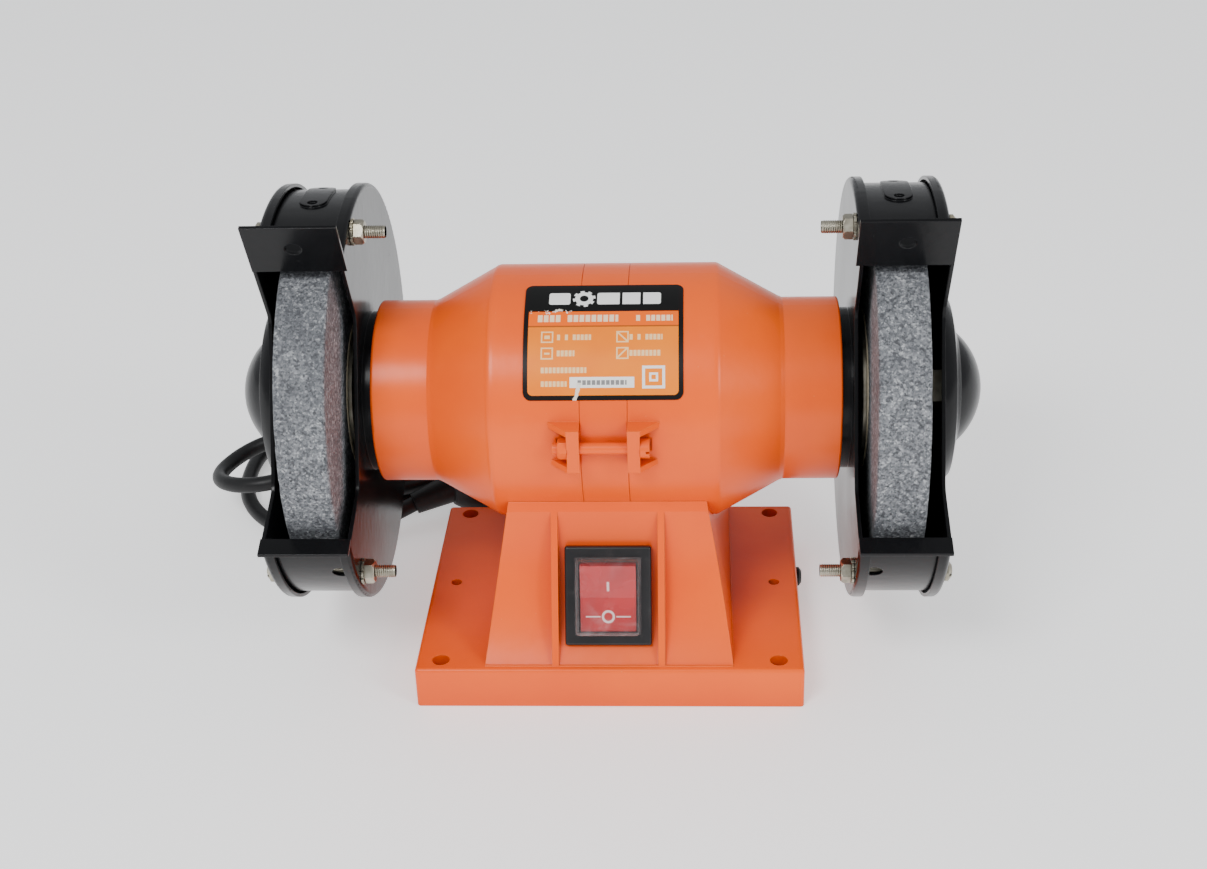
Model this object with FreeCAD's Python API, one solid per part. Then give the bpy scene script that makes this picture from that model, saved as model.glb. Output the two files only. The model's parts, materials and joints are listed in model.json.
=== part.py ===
import FreeCAD, Part
import math
import os

os.makedirs("parts", exist_ok=True)

Vector = FreeCAD.Vector

# Bench grinder with two 125 mm wheels, in millimetres.
# X runs along the motor shaft (to the right), Y away from the user, Z up.
# The origin is the middle of the base, on the surface it stands on.

# Driving dimensions -------------------------------------------------------------
AXIS_Y = 8.2                # the shaft sits a little behind the middle of the base
AXIS_Z = 87.4

BASE_WIDTH = 128.6
BASE_DEPTH = 104.2
BASE_HEIGHT = 14.7
CASTING_WALL = 3.0
BOLT_SPACING_X = 112.0
BOLT_SPACING_Y = 92.9
BOLT_HOLE_RADIUS = 2.9
COVER_SCREW_X = 56.0        # the bottom cover's screws, at the middle of each side

PEDESTAL_FOOT_HALF = 41.5
PEDESTAL_TOP_HALF = 32.5
PEDESTAL_TOP_Z = 64.5
PEDESTAL_FRONT_FOOT_Y = -51.6
PEDESTAL_FRONT_TOP_Y = -27.4
PEDESTAL_REAR_FOOT_Y = 51.6
PEDESTAL_REAR_TOP_Y = 43.8
RIB_X = 17.5
RIB_WIDTH = 2.2
SCOOP_RADIUS = 74.0         # the front is hollowed along its slope by this curve
SCOOP_DEPTH = 5.0

MOTOR_RADIUS = 42.3
MOTOR_WALL = 2.6
BARREL_HALF = 36.1          # straight barrel, then a cone, then the neck
CONE_END = 57.4
NECK_RADIUS = 30.5
NECK_END = 76.2
SEAM_X = 7.6                # each half housing starts here, the stator band fills the middle
WIRE_HOLE_RADIUS = 5.0      # the motor's wires pass down through here into the pedestal
BOSS_RADIUS = 25.4          # round boss on each end that carries the guard
GUARD_INNER_X = 79.5

LUG_RISE = 2.3              # the tie lugs sit just above the shaft's height
LUG_HEIGHT = 15.0
LUG_REACH = 47.8            # from the shaft to the lug's outer face
LUG_PLATE = 4.0
LUG_WEB_END = 17.8
TIE_REACH = 45.0
TIE_RADIUS = 1.9
TIE_RELIEF_RADIUS = 3.7     # clearance in the barrel's side for the tie screws' heads and nuts

STATOR_HALF = 21.0
ROTOR_RADIUS = 21.7
AIR_GAP = 0.4
SLOTS = 12

BEARING_X = 61.4            # 6202 bearing: 15 x 35 x 11
BEARING_WIDTH = 11.0
BEARING_BORE = 7.5
BEARING_OUTER = 17.5
BALL_PITCH = 12.5
BALL_RADIUS = 3.0
BALLS = 8
RUNNING_GAP = 0.06

WHEEL_RADIUS = 62.5
WHEEL_X = 84.6
WHEEL_WIDTH = 16.0
ARBOR_RADIUS = 6.35
FLANGE_RADIUS = 25.0
BLOTTER = 0.4
SHAFT_END = 116.0

SHEET = 1.2                 # pressed steel of the guards
RIM_RADIUS = 70.0
BAND_RADIUS = 67.9
BAND_SHEET = 0.8
INNER_RIM_END = 83.5
COVER_RIM_START = 104.4
COVER_X = 108.2             # outer face of the cover
DISC_RADIUS = 31.5          # raised middle of the cover
DOME_RADIUS = 18.6
DOME_TIP = 123.9
MOUTH_TOP = 62.0            # degrees up from straight ahead
MOUTH_BOTTOM = -17.5
MOUTH_CHORD = 33.4          # the mouth's inner edge passes this far from the shaft
MOUTH_CHORD_ANGLE = 26.0
TAB_OUTER = 88.0
TAB_INNER_X = 78.2
TAB_OUTER_X = 107.9
TAB_HOLE_RADIUS = 2.6
TAB_HOLE_REACH = 78.0
LIP_OUTER = 73.6

COVER_BOLT_ANGLES = (78.0, -37.0, 195.5)
COVER_BOLT_REACH = 65.1
COVER_BOLT_RADIUS = 1.9
COVER_BOLT_END = 68.6

SWITCH_Z = 36.0             # height of the switch's middle
SWITCH_WIDTH = 28.5
SWITCH_HEIGHT = 33.0
ROCKER_WIDTH = 18.4
ROCKER_HEIGHT = 22.4
SWITCH_INSET = 3.0          # the centre panel lies this far behind the pedestal's front
ROCKER_TILT = 8.0
ROCKER_PIVOT = -3.0
ROCKER_PIN_RADIUS = 1.4

LABEL_WIDTH = 50.7
LABEL_LOW = 22.8
LABEL_HIGH = 79.4
LABEL_THICKNESS = 0.25

CORD_RADIUS = 3.0
CORD_EXIT_Z = 24.0
RELIEF_END_Y = 82.0
COIL_X = -100.0
COIL_Y = 112.0
COIL_RADIUS = 33.0          # to the middle of the turns
COIL_BOTTOM = 0.4

# Routes of the lead where it isn't coiled: x, y, z.
LEAD_ROUTE = [
    (0, 82, 24), (-1, 100, 20), (-8, 118, 10), (-23, 132, 5), (-41, 138, 9), (-58, 136, 20),
    (-77, 124, 24.6), (-93, 108.5, 24.6), (-106, 91.5, 24.2), (-116, 74.5, 23.5), (-123, 64, 22.8),
    (-132.6, 58, 21.8), (-143.4, 58, 20.4), (-152.6, 63.4, 18.2), (-158, 72.6, 15.6),
    (-158, 83.4, 14), (-152.6, 92.6, 14), (-143.4, 98, 16), (-133, 98, 18),
]
TAIL_ROUTE = [
    (-104, 150.8, 3.8), (-124, 148, 3.2), (-142, 136, 3), (-151, 116, 3), (-152.5, 94, 3),
    (-148, 74, 3), (-136, 58, 3), (-118.5, 49, 3), (-98.5, 50.3, 4.5), (-80, 63.5, 9),
]
PLUG_START = Vector(-80, 63.5, 9)
PLUG_HEADING = 22.0         # degrees from +X
PLUG_AXIS_Z = 13.2


# Shared small shapes ------------------------------------------------------------
def reach(angle, distance, x=0.0):
    """Point at a distance from the shaft, at an angle up from straight ahead."""
    turn = math.radians(angle)
    return Vector(x, AXIS_Y - distance * math.cos(turn), AXIS_Z + distance * math.sin(turn))


def rod(radius, x0, x1, y=AXIS_Y, z=AXIS_Z):
    """Round bar along X."""
    return Part.makeCylinder(radius, x1 - x0, Vector(x0, y, z), Vector(1, 0, 0))


def tube(outer, inner, x0, x1, y=AXIS_Y, z=AXIS_Z):
    """Round tube along X."""
    return rod(outer, x0, x1, y, z).cut(rod(inner, x0 - 1, x1 + 1, y, z))


def block(x0, x1, y0, y1, z0, z1):
    return Part.makeBox(x1 - x0, y1 - y0, z1 - z0, Vector(x0, y0, z0))


def turned(profile):
    """Solid turned about the shaft's axis from (x, radius) points; (mid, end) pairs are arcs."""
    def place(point):
        return Vector(point[0], AXIS_Y, AXIS_Z + point[1])

    edges = []
    current = profile[0]
    for item in profile[1:] + [profile[0]]:
        if isinstance(item[0], tuple):
            middle, end = item
            edges.append(Part.Arc(place(current), place(middle), place(end)).toShape())
            current = end
        else:
            edges.append(Part.LineSegment(place(current), place(item)).toShape())
            current = item
    face = Part.Face(Part.Wire(edges))
    return face.revolve(Vector(0, AXIS_Y, AXIS_Z), Vector(1, 0, 0), 360)


def hexagon(across_flats, x0, x1, y=AXIS_Y, z=AXIS_Z):
    """Six-sided bar along X with its corners chamfered."""
    corner = across_flats / 2 / math.cos(math.radians(30))
    points = []
    for step in range(7):
        turn = math.radians(60 * step)
        points.append(Vector(x0, y + corner * math.cos(turn), z + corner * math.sin(turn)))
    body = Part.Face(Part.makePolygon(points)).extrude(Vector(x1 - x0, 0, 0))
    bevel = 0.12 * across_flats
    middle = Part.makeCylinder(corner, x1 - x0 - bevel, Vector(x0, y, z), Vector(1, 0, 0))
    end = Part.makeCone(corner, across_flats / 2 * 0.98, bevel, Vector(x1 - bevel, y, z), Vector(1, 0, 0))
    return body.common(middle.fuse(end))


def mirrored(shape):
    """The same piece for the left end."""
    return shape.mirror(Vector(0, 0, 0), Vector(1, 0, 0))


def save(name, shape):
    if not shape.isValid():
        print("not valid:", name)
    print("%-24s %d solid(s) %10.1f mm3" % (name, len(shape.Solids), shape.Volume))
    shape.exportStep("parts/" + name + ".step")


def save_pair(name, shape):
    """Write the right-hand piece and its mirror image."""
    save("right_" + name, shape)
    save("left_" + name, mirrored(shape))


# Base and pedestal --------------------------------------------------------------
def tapered_block(inset, front_inset):
    """The pedestal's outline, drawn in by a wall thickness on each side."""
    def outline(z, half, front, rear):
        corners = [
            Vector(-half, front, z), Vector(half, front, z),
            Vector(half, rear, z), Vector(-half, rear, z), Vector(-half, front, z),
        ]
        return Part.makePolygon(corners)

    foot = outline(BASE_HEIGHT - CASTING_WALL, PEDESTAL_FOOT_HALF - inset,
                   PEDESTAL_FRONT_FOOT_Y + front_inset, PEDESTAL_REAR_FOOT_Y - inset)
    top = outline(PEDESTAL_TOP_Z, PEDESTAL_TOP_HALF - inset,
                  PEDESTAL_FRONT_TOP_Y + front_inset, PEDESTAL_REAR_TOP_Y - inset)
    return Part.makeLoft([foot, top], True, True)


def front_tilt():
    """Angle of the pedestal's front, up its slope from the horizontal."""
    rise = PEDESTAL_TOP_Z - (BASE_HEIGHT - CASTING_WALL)
    return math.degrees(math.atan2(rise, PEDESTAL_FRONT_TOP_Y - PEDESTAL_FRONT_FOOT_Y))


def on_front(shape, depth=0.0, z=SWITCH_Z):
    """Move a shape drawn flat (X right, Y up the slope, Z outward) onto the front face."""
    part_way = (z - (BASE_HEIGHT - CASTING_WALL)) / (PEDESTAL_TOP_Z - (BASE_HEIGHT - CASTING_WALL))
    y = PEDESTAL_FRONT_FOOT_Y + part_way * (PEDESTAL_FRONT_TOP_Y - PEDESTAL_FRONT_FOOT_Y)
    tilt = math.radians(front_tilt())
    spot = Vector(0, y + depth * math.sin(tilt), z - depth * math.cos(tilt))
    place = FreeCAD.Placement(spot, FreeCAD.Rotation(Vector(1, 0, 0), front_tilt()))
    moved = shape.copy()
    moved.Placement = place.multiply(shape.Placement)
    return moved


def front_scoop():
    """Hollow across the whole front, which leaves two ribs and a pad for the switch."""
    front = Part.makeBox(2 * PEDESTAL_FOOT_HALF + 20, 53, 14, Vector(-PEDESTAL_FOOT_HALF - 10, -23, -9))
    roller = Part.makeCylinder(SCOOP_RADIUS, 200, Vector(-100, 1.2, SCOOP_RADIUS - SCOOP_DEPTH),
                               Vector(1, 0, 0))
    scoop = front.common(roller)
    for x in (-RIB_X, RIB_X):
        scoop = scoop.cut(Part.makeBox(RIB_WIDTH, 60, 20, Vector(x - RIB_WIDTH / 2, -30, -10)))
    pad = Part.makeBox(SWITCH_WIDTH - 1, SWITCH_HEIGHT - 1, 10 - SWITCH_INSET,
                       Vector(0.5 - SWITCH_WIDTH / 2, 0.5 - SWITCH_HEIGHT / 2, -10))
    seat = Part.makeBox(SWITCH_WIDTH + 0.4, SWITCH_HEIGHT + 0.4, 10,
                        Vector(-0.2 - SWITCH_WIDTH / 2, -0.2 - SWITCH_HEIGHT / 2, -SWITCH_INSET))
    return on_front(scoop.cut(pad).fuse(seat))


def base_pedestal():
    plate = block(-BASE_WIDTH / 2, BASE_WIDTH / 2, -BASE_DEPTH / 2, BASE_DEPTH / 2, 0, BASE_HEIGHT)
    outer_edges = [edge for edge in plate.Edges if edge.BoundBox.ZMax > 1]
    body = plate.makeFillet(1.3, outer_edges)
    body = body.fuse(tapered_block(0, 0)).removeSplitter()

    exit_boss = Part.makeCylinder(9.5, 8.0, Vector(0, 44.2, CORD_EXIT_Z), Vector(0, 1, 0))
    body = body.fuse(exit_boss)

    saddle = rod(MOTOR_RADIUS + 0.05, -60, 60)
    body = body.cut(saddle)
    body = body.cut(front_scoop())

    skirt = block(-BASE_WIDTH / 2 + CASTING_WALL, BASE_WIDTH / 2 - CASTING_WALL,
                  -BASE_DEPTH / 2 + CASTING_WALL, BASE_DEPTH / 2 - CASTING_WALL,
                  -1, BASE_HEIGHT - CASTING_WALL)
    hollow = tapered_block(CASTING_WALL, 9.0)
    saddle_wall = rod(MOTOR_RADIUS + CASTING_WALL + 0.05, -70, 70)
    body = body.cut(skirt).cut(hollow.cut(saddle_wall))

    for x in (-BOLT_SPACING_X / 2, BOLT_SPACING_X / 2):
        for y in (-BOLT_SPACING_Y / 2, BOLT_SPACING_Y / 2):
            boss = Part.makeCylinder(5.6, BASE_HEIGHT - 1.5, Vector(x, y, 0))
            hole = Part.makeCylinder(BOLT_HOLE_RADIUS, BASE_HEIGHT + 2, Vector(x, y, -1))
            body = body.fuse(boss).cut(hole)
    for x in (-COVER_SCREW_X, COVER_SCREW_X):
        post = Part.makeCylinder(4.2, BASE_HEIGHT - 5.2, Vector(x, 0, 3.7))
        hole = Part.makeCylinder(1.8, BASE_HEIGHT + 2, Vector(x, 0, 2))
        body = body.fuse(post).cut(hole)

    switch_hole = Part.makeBox(22.4, 28.6, 30, Vector(-11.2, -14.3, -25))
    body = body.cut(on_front(switch_hole))
    cord_hole = Part.makeCylinder(5.1, 20, Vector(0, 40, CORD_EXIT_Z), Vector(0, 1, 0))
    plug_hole = rod(2.9, BASE_WIDTH / 2 - 5, BASE_WIDTH / 2 + 1, 15, 7.2)
    wire_hole = Part.makeCylinder(WIRE_HOLE_RADIUS, 20, Vector(0, AXIS_Y, 35))
    body = body.cut(cord_hole).cut(plug_hole).cut(wire_hole)
    for screw in pedestal_screw_bodies(0.1):
        body = body.cut(screw)
    return body.removeSplitter()


def pedestal_screw_bodies(gap):
    """Four screws from inside the pedestal, up through its saddle into the housings."""
    screws = []
    for x in (-28.0, 28.0):
        for angle in (-112.0, -68.0):
            outward = reach(angle, 1.0) - reach(angle, 0.0)
            shank = Part.makeCylinder(2.0 + gap, 7.0, reach(angle, 38.6, x), outward)
            head_start = reach(angle, MOTOR_RADIUS + CASTING_WALL + 0.1, x)
            head = Part.makeCylinder(4.0, 2.6, head_start, outward)
            screws.append(shank.fuse(head) if gap == 0 else shank)
    return screws


def bottom_cover():
    gap = CASTING_WALL + 0.4
    sheet = block(-BASE_WIDTH / 2 + gap, BASE_WIDTH / 2 - gap,
                  -BASE_DEPTH / 2 + gap, BASE_DEPTH / 2 - gap, 2.5, 3.6)
    for x in (-BOLT_SPACING_X / 2, BOLT_SPACING_X / 2):
        for y in (-BOLT_SPACING_Y / 2, BOLT_SPACING_Y / 2):
            sheet = sheet.cut(Part.makeCylinder(6.5, 5, Vector(x, y, 0)))
        side = math.copysign(COVER_SCREW_X, x)
        sheet = sheet.cut(Part.makeCylinder(1.8, 5, Vector(side, 0, 0)))
    return sheet


def bottom_cover_screws():
    screws = []
    for x in (-COVER_SCREW_X, COVER_SCREW_X):
        head = Part.makeCylinder(3.4, 1.9, Vector(x, 0, 0.5))
        shank = Part.makeCylinder(1.7, 8.0, Vector(x, 0, 2.4))
        slot = block(x - 4, x + 4, -0.4, 0.4, 0, 1.2)
        screws.append(head.fuse(shank).cut(slot))
    return Part.makeCompound(screws)


def side_plug():
    """Blanking plug in the base's right side."""
    x = BASE_WIDTH / 2
    cap = rod(3.4, x, x + 1.2, 15, 7.2)
    dome = Part.makeCone(3.4, 2.2, 0.9, Vector(x + 1.2, 15, 7.2), Vector(1, 0, 0))
    shank = rod(2.8, x - 4, x, 15, 7.2)
    return cap.fuse(dome).fuse(shank)


# Motor housing ------------------------------------------------------------------
def lug_pair():
    """Front and rear tie lugs of the right-hand housing."""
    z0 = AXIS_Z + LUG_RISE - LUG_HEIGHT / 2
    web = 2.0
    root = MOTOR_RADIUS - 6.0
    lugs = []
    for side in (-1, 1):
        def at(distance):
            return AXIS_Y + side * distance

        near, far = sorted((at(root), at(LUG_REACH)))
        plate = block(SEAM_X, SEAM_X + LUG_PLATE, near, far, z0, z0 + LUG_HEIGHT)
        corners = [
            Vector(SEAM_X, at(root), 0), Vector(SEAM_X, at(LUG_REACH), 0),
            Vector(SEAM_X + LUG_PLATE, at(LUG_REACH), 0), Vector(LUG_WEB_END, at(MOTOR_RADIUS - 1), 0),
            Vector(LUG_WEB_END, at(root), 0), Vector(SEAM_X, at(root), 0),
        ]
        gusset = Part.Face(Part.makePolygon(corners)).extrude(Vector(0, 0, web))
        low = gusset.translated(Vector(0, 0, z0))
        high = gusset.translated(Vector(0, 0, z0 + LUG_HEIGHT - web))
        hole = rod(TIE_RADIUS + 0.15, 0, 30, at(TIE_REACH), AXIS_Z + LUG_RISE)
        lugs.append(plate.fuse(low).fuse(high).cut(hole))
    return lugs


def housing():
    """Right-hand half of the motor housing."""
    shell = turned([
        (SEAM_X, MOTOR_RADIUS - MOTOR_WALL), (SEAM_X, MOTOR_RADIUS - 0.2),
        (SEAM_X + 0.15, MOTOR_RADIUS), (BARREL_HALF - 1.0, MOTOR_RADIUS),
        ((BARREL_HALF + 0.3, MOTOR_RADIUS - 0.15), (BARREL_HALF + 1.4, MOTOR_RADIUS - 0.75)),
        (CONE_END - 1.0, NECK_RADIUS + 0.6), (CONE_END + 0.4, NECK_RADIUS),
        (NECK_END - 0.8, NECK_RADIUS), ((NECK_END - 0.2, NECK_RADIUS - 0.2), (NECK_END, NECK_RADIUS - 0.8)),
        (NECK_END, BOSS_RADIUS), (GUARD_INNER_X - 0.05, BOSS_RADIUS), (GUARD_INNER_X - 0.05, 15.0),
        (NECK_END, 15.0), (NECK_END, 10.0), (73.2, 10.0), (73.2, BEARING_OUTER + 0.03),
        (60.0, BEARING_OUTER + 0.03), (60.0, 21.5), (72.0, 21.5), (72.0, NECK_RADIUS - 2.8),
        (CONE_END, NECK_RADIUS - 2.8), (BARREL_HALF, MOTOR_RADIUS - MOTOR_WALL),
    ])
    inside = rod(MOTOR_RADIUS - 1.2, 0, BARREL_HALF)
    for lug in lug_pair():
        shell = shell.fuse(lug.cut(inside))
    seat = SEAM_X + LUG_PLATE
    for y in (AXIS_Y - TIE_REACH, AXIS_Y + TIE_REACH):
        shell = shell.cut(rod(TIE_RELIEF_RADIUS, seat, seat + 3.6, y, AXIS_Z + LUG_RISE))
    for screw in guard_screw_bodies(0.1):
        shell = shell.cut(screw)
    for screw in pedestal_screw_bodies(0.1):
        shell = shell.cut(screw)
    return shell.removeSplitter()


def stator_band():
    """Middle ring of the motor's casing, between the two housings."""
    edge = SEAM_X - 0.05
    inner = MOTOR_RADIUS - MOTOR_WALL
    ring = turned([
        (-edge, inner), (-edge, MOTOR_RADIUS - 0.2), (-edge + 0.15, MOTOR_RADIUS),
        (edge - 0.15, MOTOR_RADIUS), (edge, MOTOR_RADIUS - 0.2), (edge, inner),
    ])
    return ring.cut(Part.makeCylinder(WIRE_HOLE_RADIUS, 20, Vector(0, AXIS_Y, 35)))


def tie_screws():
    """Two long screws that clamp the housings together through their lugs."""
    z = AXIS_Z + LUG_RISE
    outer = SEAM_X + LUG_PLATE
    screws = []
    for y in (AXIS_Y - TIE_REACH, AXIS_Y + TIE_REACH):
        shank = rod(TIE_RADIUS, -outer - 4.6, outer, y, z)
        head = rod(3.2, outer, outer + 3.0, y, z)
        slot = block(outer + 1.8, outer + 4, y - 4, y + 4, z - 0.45, z + 0.45)
        screws.append(shank.fuse(head).cut(slot))
    return Part.makeCompound(screws)


def tie_nuts():
    z = AXIS_Z + LUG_RISE
    outer = SEAM_X + LUG_PLATE
    nuts = []
    for y in (AXIS_Y - TIE_REACH, AXIS_Y + TIE_REACH):
        nut = mirrored(hexagon(6.0, outer, outer + 3.0, y, z))
        nuts.append(nut.cut(rod(TIE_RADIUS, -outer - 5, -outer + 1, y, z)))
    return Part.makeCompound(nuts)


def nameplate():
    """Rating label bent around the barrel."""
    skin = tube(MOTOR_RADIUS + 0.02 + LABEL_THICKNESS, MOTOR_RADIUS + 0.02, -LABEL_WIDTH / 2, LABEL_WIDTH / 2)
    middle = (LABEL_LOW + LABEL_HIGH) / 2
    half = (MOTOR_RADIUS + LABEL_THICKNESS) * math.sin(math.radians((LABEL_HIGH - LABEL_LOW) / 2))
    sheet = Part.makeBox(LABEL_WIDTH, 2 * half, 30, Vector(-LABEL_WIDTH / 2, -half, 25))
    upright = [edge for edge in sheet.Edges if edge.BoundBox.ZLength > 10]
    stamp = sheet.makeFillet(2.4, upright)
    stamp.Placement = FreeCAD.Placement(reach(0, 0), FreeCAD.Rotation(Vector(1, 0, 0), 90 - middle))
    return skin.common(stamp)


# Motor inside -------------------------------------------------------------------
def stator_core():
    core = tube(MOTOR_RADIUS - MOTOR_WALL - 0.05, ROTOR_RADIUS + AIR_GAP, -STATOR_HALF, STATOR_HALF)
    slot = block(-STATOR_HALF - 1, STATOR_HALF + 1, AXIS_Y - 2.4, AXIS_Y + 2.4, AXIS_Z + 24.0, AXIS_Z + 31.5)
    mouth = block(-STATOR_HALF - 1, STATOR_HALF + 1, AXIS_Y - 1.0, AXIS_Y + 1.0, AXIS_Z + 20.0, AXIS_Z + 25.0)
    cutter = slot.fuse(mouth)
    for step in range(SLOTS):
        turned_slot = cutter.copy()
        turned_slot.rotate(Vector(0, AXIS_Y, AXIS_Z), Vector(1, 0, 0), 360.0 / SLOTS * step)
        core = core.cut(turned_slot)
    return core


def stator_windings():
    """Copper wound through the slots, with a rounded bundle at each end."""
    start = STATOR_HALF + 0.4
    bundle = turned([
        (start, 24.3), (start, 34.0), (start + 7, 35.5),
        ((start + 10.5, 32.5), (start + 9, 28.0)), (start + 4, 24.3),
    ])
    copper = bundle.fuse(mirrored(bundle))
    for step in range(SLOTS):
        angle = 90.0 + 360.0 / SLOTS * step
        centre = reach(angle, 27.8)
        copper = copper.fuse(rod(2.0, -start - 1, start + 1, centre.y, centre.z))
    return copper


def rotor_core():
    stack = tube(ROTOR_RADIUS, 9.05, -STATOR_HALF, STATOR_HALF)
    ring = tube(ROTOR_RADIUS - 0.6, 14.5, STATOR_HALF, STATOR_HALF + 5.0)
    return stack.fuse(ring).fuse(mirrored(ring))


def rotor_shaft():
    half = [
        (0, 9.0), (BEARING_X - 0.2, 9.0), (BEARING_X - 0.2, BEARING_BORE - 0.02),
        (78.6, BEARING_BORE - 0.02), (78.6, ARBOR_RADIUS - 0.03), (102.8, ARBOR_RADIUS - 0.03),
        (103.2, 5.9), (SHAFT_END - 1.0, 5.9), (SHAFT_END, 5.0), (SHAFT_END, 0),
    ]
    right = turned([(0, 0)] + half)
    return right.fuse(mirrored(right)).removeSplitter()


def ball_spots():
    """Centres of the balls in the right-hand bearing."""
    middle = BEARING_X + BEARING_WIDTH / 2
    return [reach(360.0 / BALLS * step, BALL_PITCH, middle) for step in range(BALLS)]


def race_groove():
    middle = BEARING_X + BEARING_WIDTH / 2
    centre = Vector(middle, AXIS_Y, AXIS_Z)
    return Part.makeTorus(BALL_PITCH, BALL_RADIUS + RUNNING_GAP, centre, Vector(1, 0, 0))


def bearing_outer():
    ring = tube(BEARING_OUTER, 14.7, BEARING_X, BEARING_X + BEARING_WIDTH)
    return ring.cut(race_groove())


def bearing_inner():
    ring = tube(10.3, BEARING_BORE, BEARING_X, BEARING_X + BEARING_WIDTH)
    return ring.cut(race_groove())


def bearing_balls():
    return Part.makeCompound([Part.makeSphere(BALL_RADIUS, spot) for spot in ball_spots()])


def bearing_cage():
    middle = BEARING_X + BEARING_WIDTH / 2
    cage = tube(13.4, 11.6, middle - 4.0, middle + 4.0)
    for spot in ball_spots():
        cage = cage.cut(Part.makeSphere(BALL_RADIUS + 0.08, spot))
    return cage


def wave_washer():
    """Spring washer that preloads the right-hand bearing."""
    return tube(17.0, 14.8, 72.5, 73.1)


# Wheels and what clamps them ----------------------------------------------------
def inner_flange():
    """Pressed washer against the shaft's shoulder."""
    face = WHEEL_X - BLOTTER
    return turned([
        (78.65, ARBOR_RADIUS), (78.65, 11.0), (80.6, 12.0), (face - 1.9, 12.6),
        (face - 1.9, FLANGE_RADIUS - 0.8),
        (face - 1.1, FLANGE_RADIUS), (face, FLANGE_RADIUS), (face, FLANGE_RADIUS - 6.0),
        (face - 0.9, FLANGE_RADIUS - 7.0), (face - 0.9, ARBOR_RADIUS),
    ])


def outer_flange():
    face = WHEEL_X + WHEEL_WIDTH + BLOTTER
    return turned([
        (face + 0.9, ARBOR_RADIUS), (face + 0.9, FLANGE_RADIUS - 7.0), (face, FLANGE_RADIUS - 6.0),
        (face, FLANGE_RADIUS), (face + 1.1, FLANGE_RADIUS), (face + 1.9, FLANGE_RADIUS - 0.8),
        (face + 2.3, 13.0), (face + 2.3, ARBOR_RADIUS),
    ])


def wheel():
    """Grinding wheel with lightly broken edges."""
    end = WHEEL_X + WHEEL_WIDTH
    return turned([
        (WHEEL_X, ARBOR_RADIUS + 0.02), (WHEEL_X, WHEEL_RADIUS - 0.5), (WHEEL_X + 0.5, WHEEL_RADIUS),
        (end - 0.5, WHEEL_RADIUS), (end, WHEEL_RADIUS - 0.5), (end, ARBOR_RADIUS + 0.02),
    ])


def blotters():
    """Paper washers on both sides of the wheel."""
    end = WHEEL_X + WHEEL_WIDTH
    inner = tube(FLANGE_RADIUS + 1.5, ARBOR_RADIUS + 0.3, WHEEL_X - BLOTTER + 0.02, WHEEL_X - 0.02)
    outer = tube(FLANGE_RADIUS + 1.5, ARBOR_RADIUS + 0.3, end + 0.02, end + BLOTTER - 0.02)
    return Part.makeCompound([inner, outer])


def wheel_nut():
    start = WHEEL_X + WHEEL_WIDTH + BLOTTER + 2.35
    return hexagon(18.0, start, start + 8.5).cut(rod(5.95, start - 1, start + 10))


# Guards -------------------------------------------------------------------------
def mouth_cutter():
    """Wedge that opens the guard towards the user, with rounded inner corners."""
    def crossing(angle):
        return MOUTH_CHORD / math.cos(math.radians(angle - MOUTH_CHORD_ANGLE))

    x = GUARD_INNER_X - 3
    far = RIM_RADIUS + 8
    middle = (MOUTH_TOP + MOUTH_BOTTOM) / 2
    beyond = far / math.cos(math.radians((MOUTH_TOP - MOUTH_BOTTOM) / 4))
    corners = [
        reach(MOUTH_BOTTOM, crossing(MOUTH_BOTTOM), x), reach(MOUTH_BOTTOM, far, x),
        reach(middle, beyond * 1.1, x), reach(MOUTH_TOP, far, x),
        reach(MOUTH_TOP, crossing(MOUTH_TOP), x), reach(MOUTH_BOTTOM, crossing(MOUTH_BOTTOM), x),
    ]
    wedge = Part.Face(Part.makePolygon(corners)).extrude(Vector(COVER_X - GUARD_INNER_X + 6, 0, 0))
    inner = [edge for edge in wedge.Edges if is_inner_corner(edge)]
    return wedge.makeFillet(6.0, inner)


def is_inner_corner(edge):
    """True for the wedge's two long edges nearest the shaft."""
    if edge.BoundBox.XLength < 10:
        return False
    middle = edge.CenterOfMass
    return math.hypot(middle.y - AXIS_Y, middle.z - AXIS_Z) < RIM_RADIUS - 15


def guard_screw_bodies(gap):
    """Three countersunk screws that hold the inner guard to the housing's boss."""
    screws = []
    for step in range(3):
        spot = reach(90 + 120 * step, 21.5)
        shank = rod(2.0 + gap, 72.5, GUARD_INNER_X + SHEET, spot.y, spot.z)
        seat = Vector(GUARD_INNER_X, spot.y, spot.z)
        head = Part.makeCone(2.0 + gap, 3.6 + gap, SHEET, seat, Vector(1, 0, 0))
        screws.append(shank.fuse(head))
    return screws


def bolt_spots():
    return [reach(angle, COVER_BOLT_REACH) for angle in COVER_BOLT_ANGLES]


def inner_guard(mouth):
    """Pressed plate on the motor side, with a shallow rim and a hub around the boss."""
    outer = turned([
        (GUARD_INNER_X, 0), (GUARD_INNER_X, RIM_RADIUS - 1.6),
        ((GUARD_INNER_X + 0.45, RIM_RADIUS - 0.45), (GUARD_INNER_X + 1.6, RIM_RADIUS)),
        (INNER_RIM_END, RIM_RADIUS), (INNER_RIM_END, 0),
    ])
    inside = rod(RIM_RADIUS - SHEET, GUARD_INNER_X + SHEET, INNER_RIM_END + 1)
    plate = outer.cut(inside).cut(rod(14.0, GUARD_INNER_X - 1, INNER_RIM_END + 1)).cut(mouth)
    hub = tube(BOSS_RADIUS + 1.5, BOSS_RADIUS + 0.1, NECK_END + 0.1, GUARD_INNER_X + 0.4)
    plate = plate.fuse(hub)
    for spot in bolt_spots():
        plate = plate.cut(rod(COVER_BOLT_RADIUS + 0.1, 70, 100, spot.y, spot.z))
    for screw in guard_screw_bodies(0.1):
        plate = plate.cut(screw)
    return plate


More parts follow.
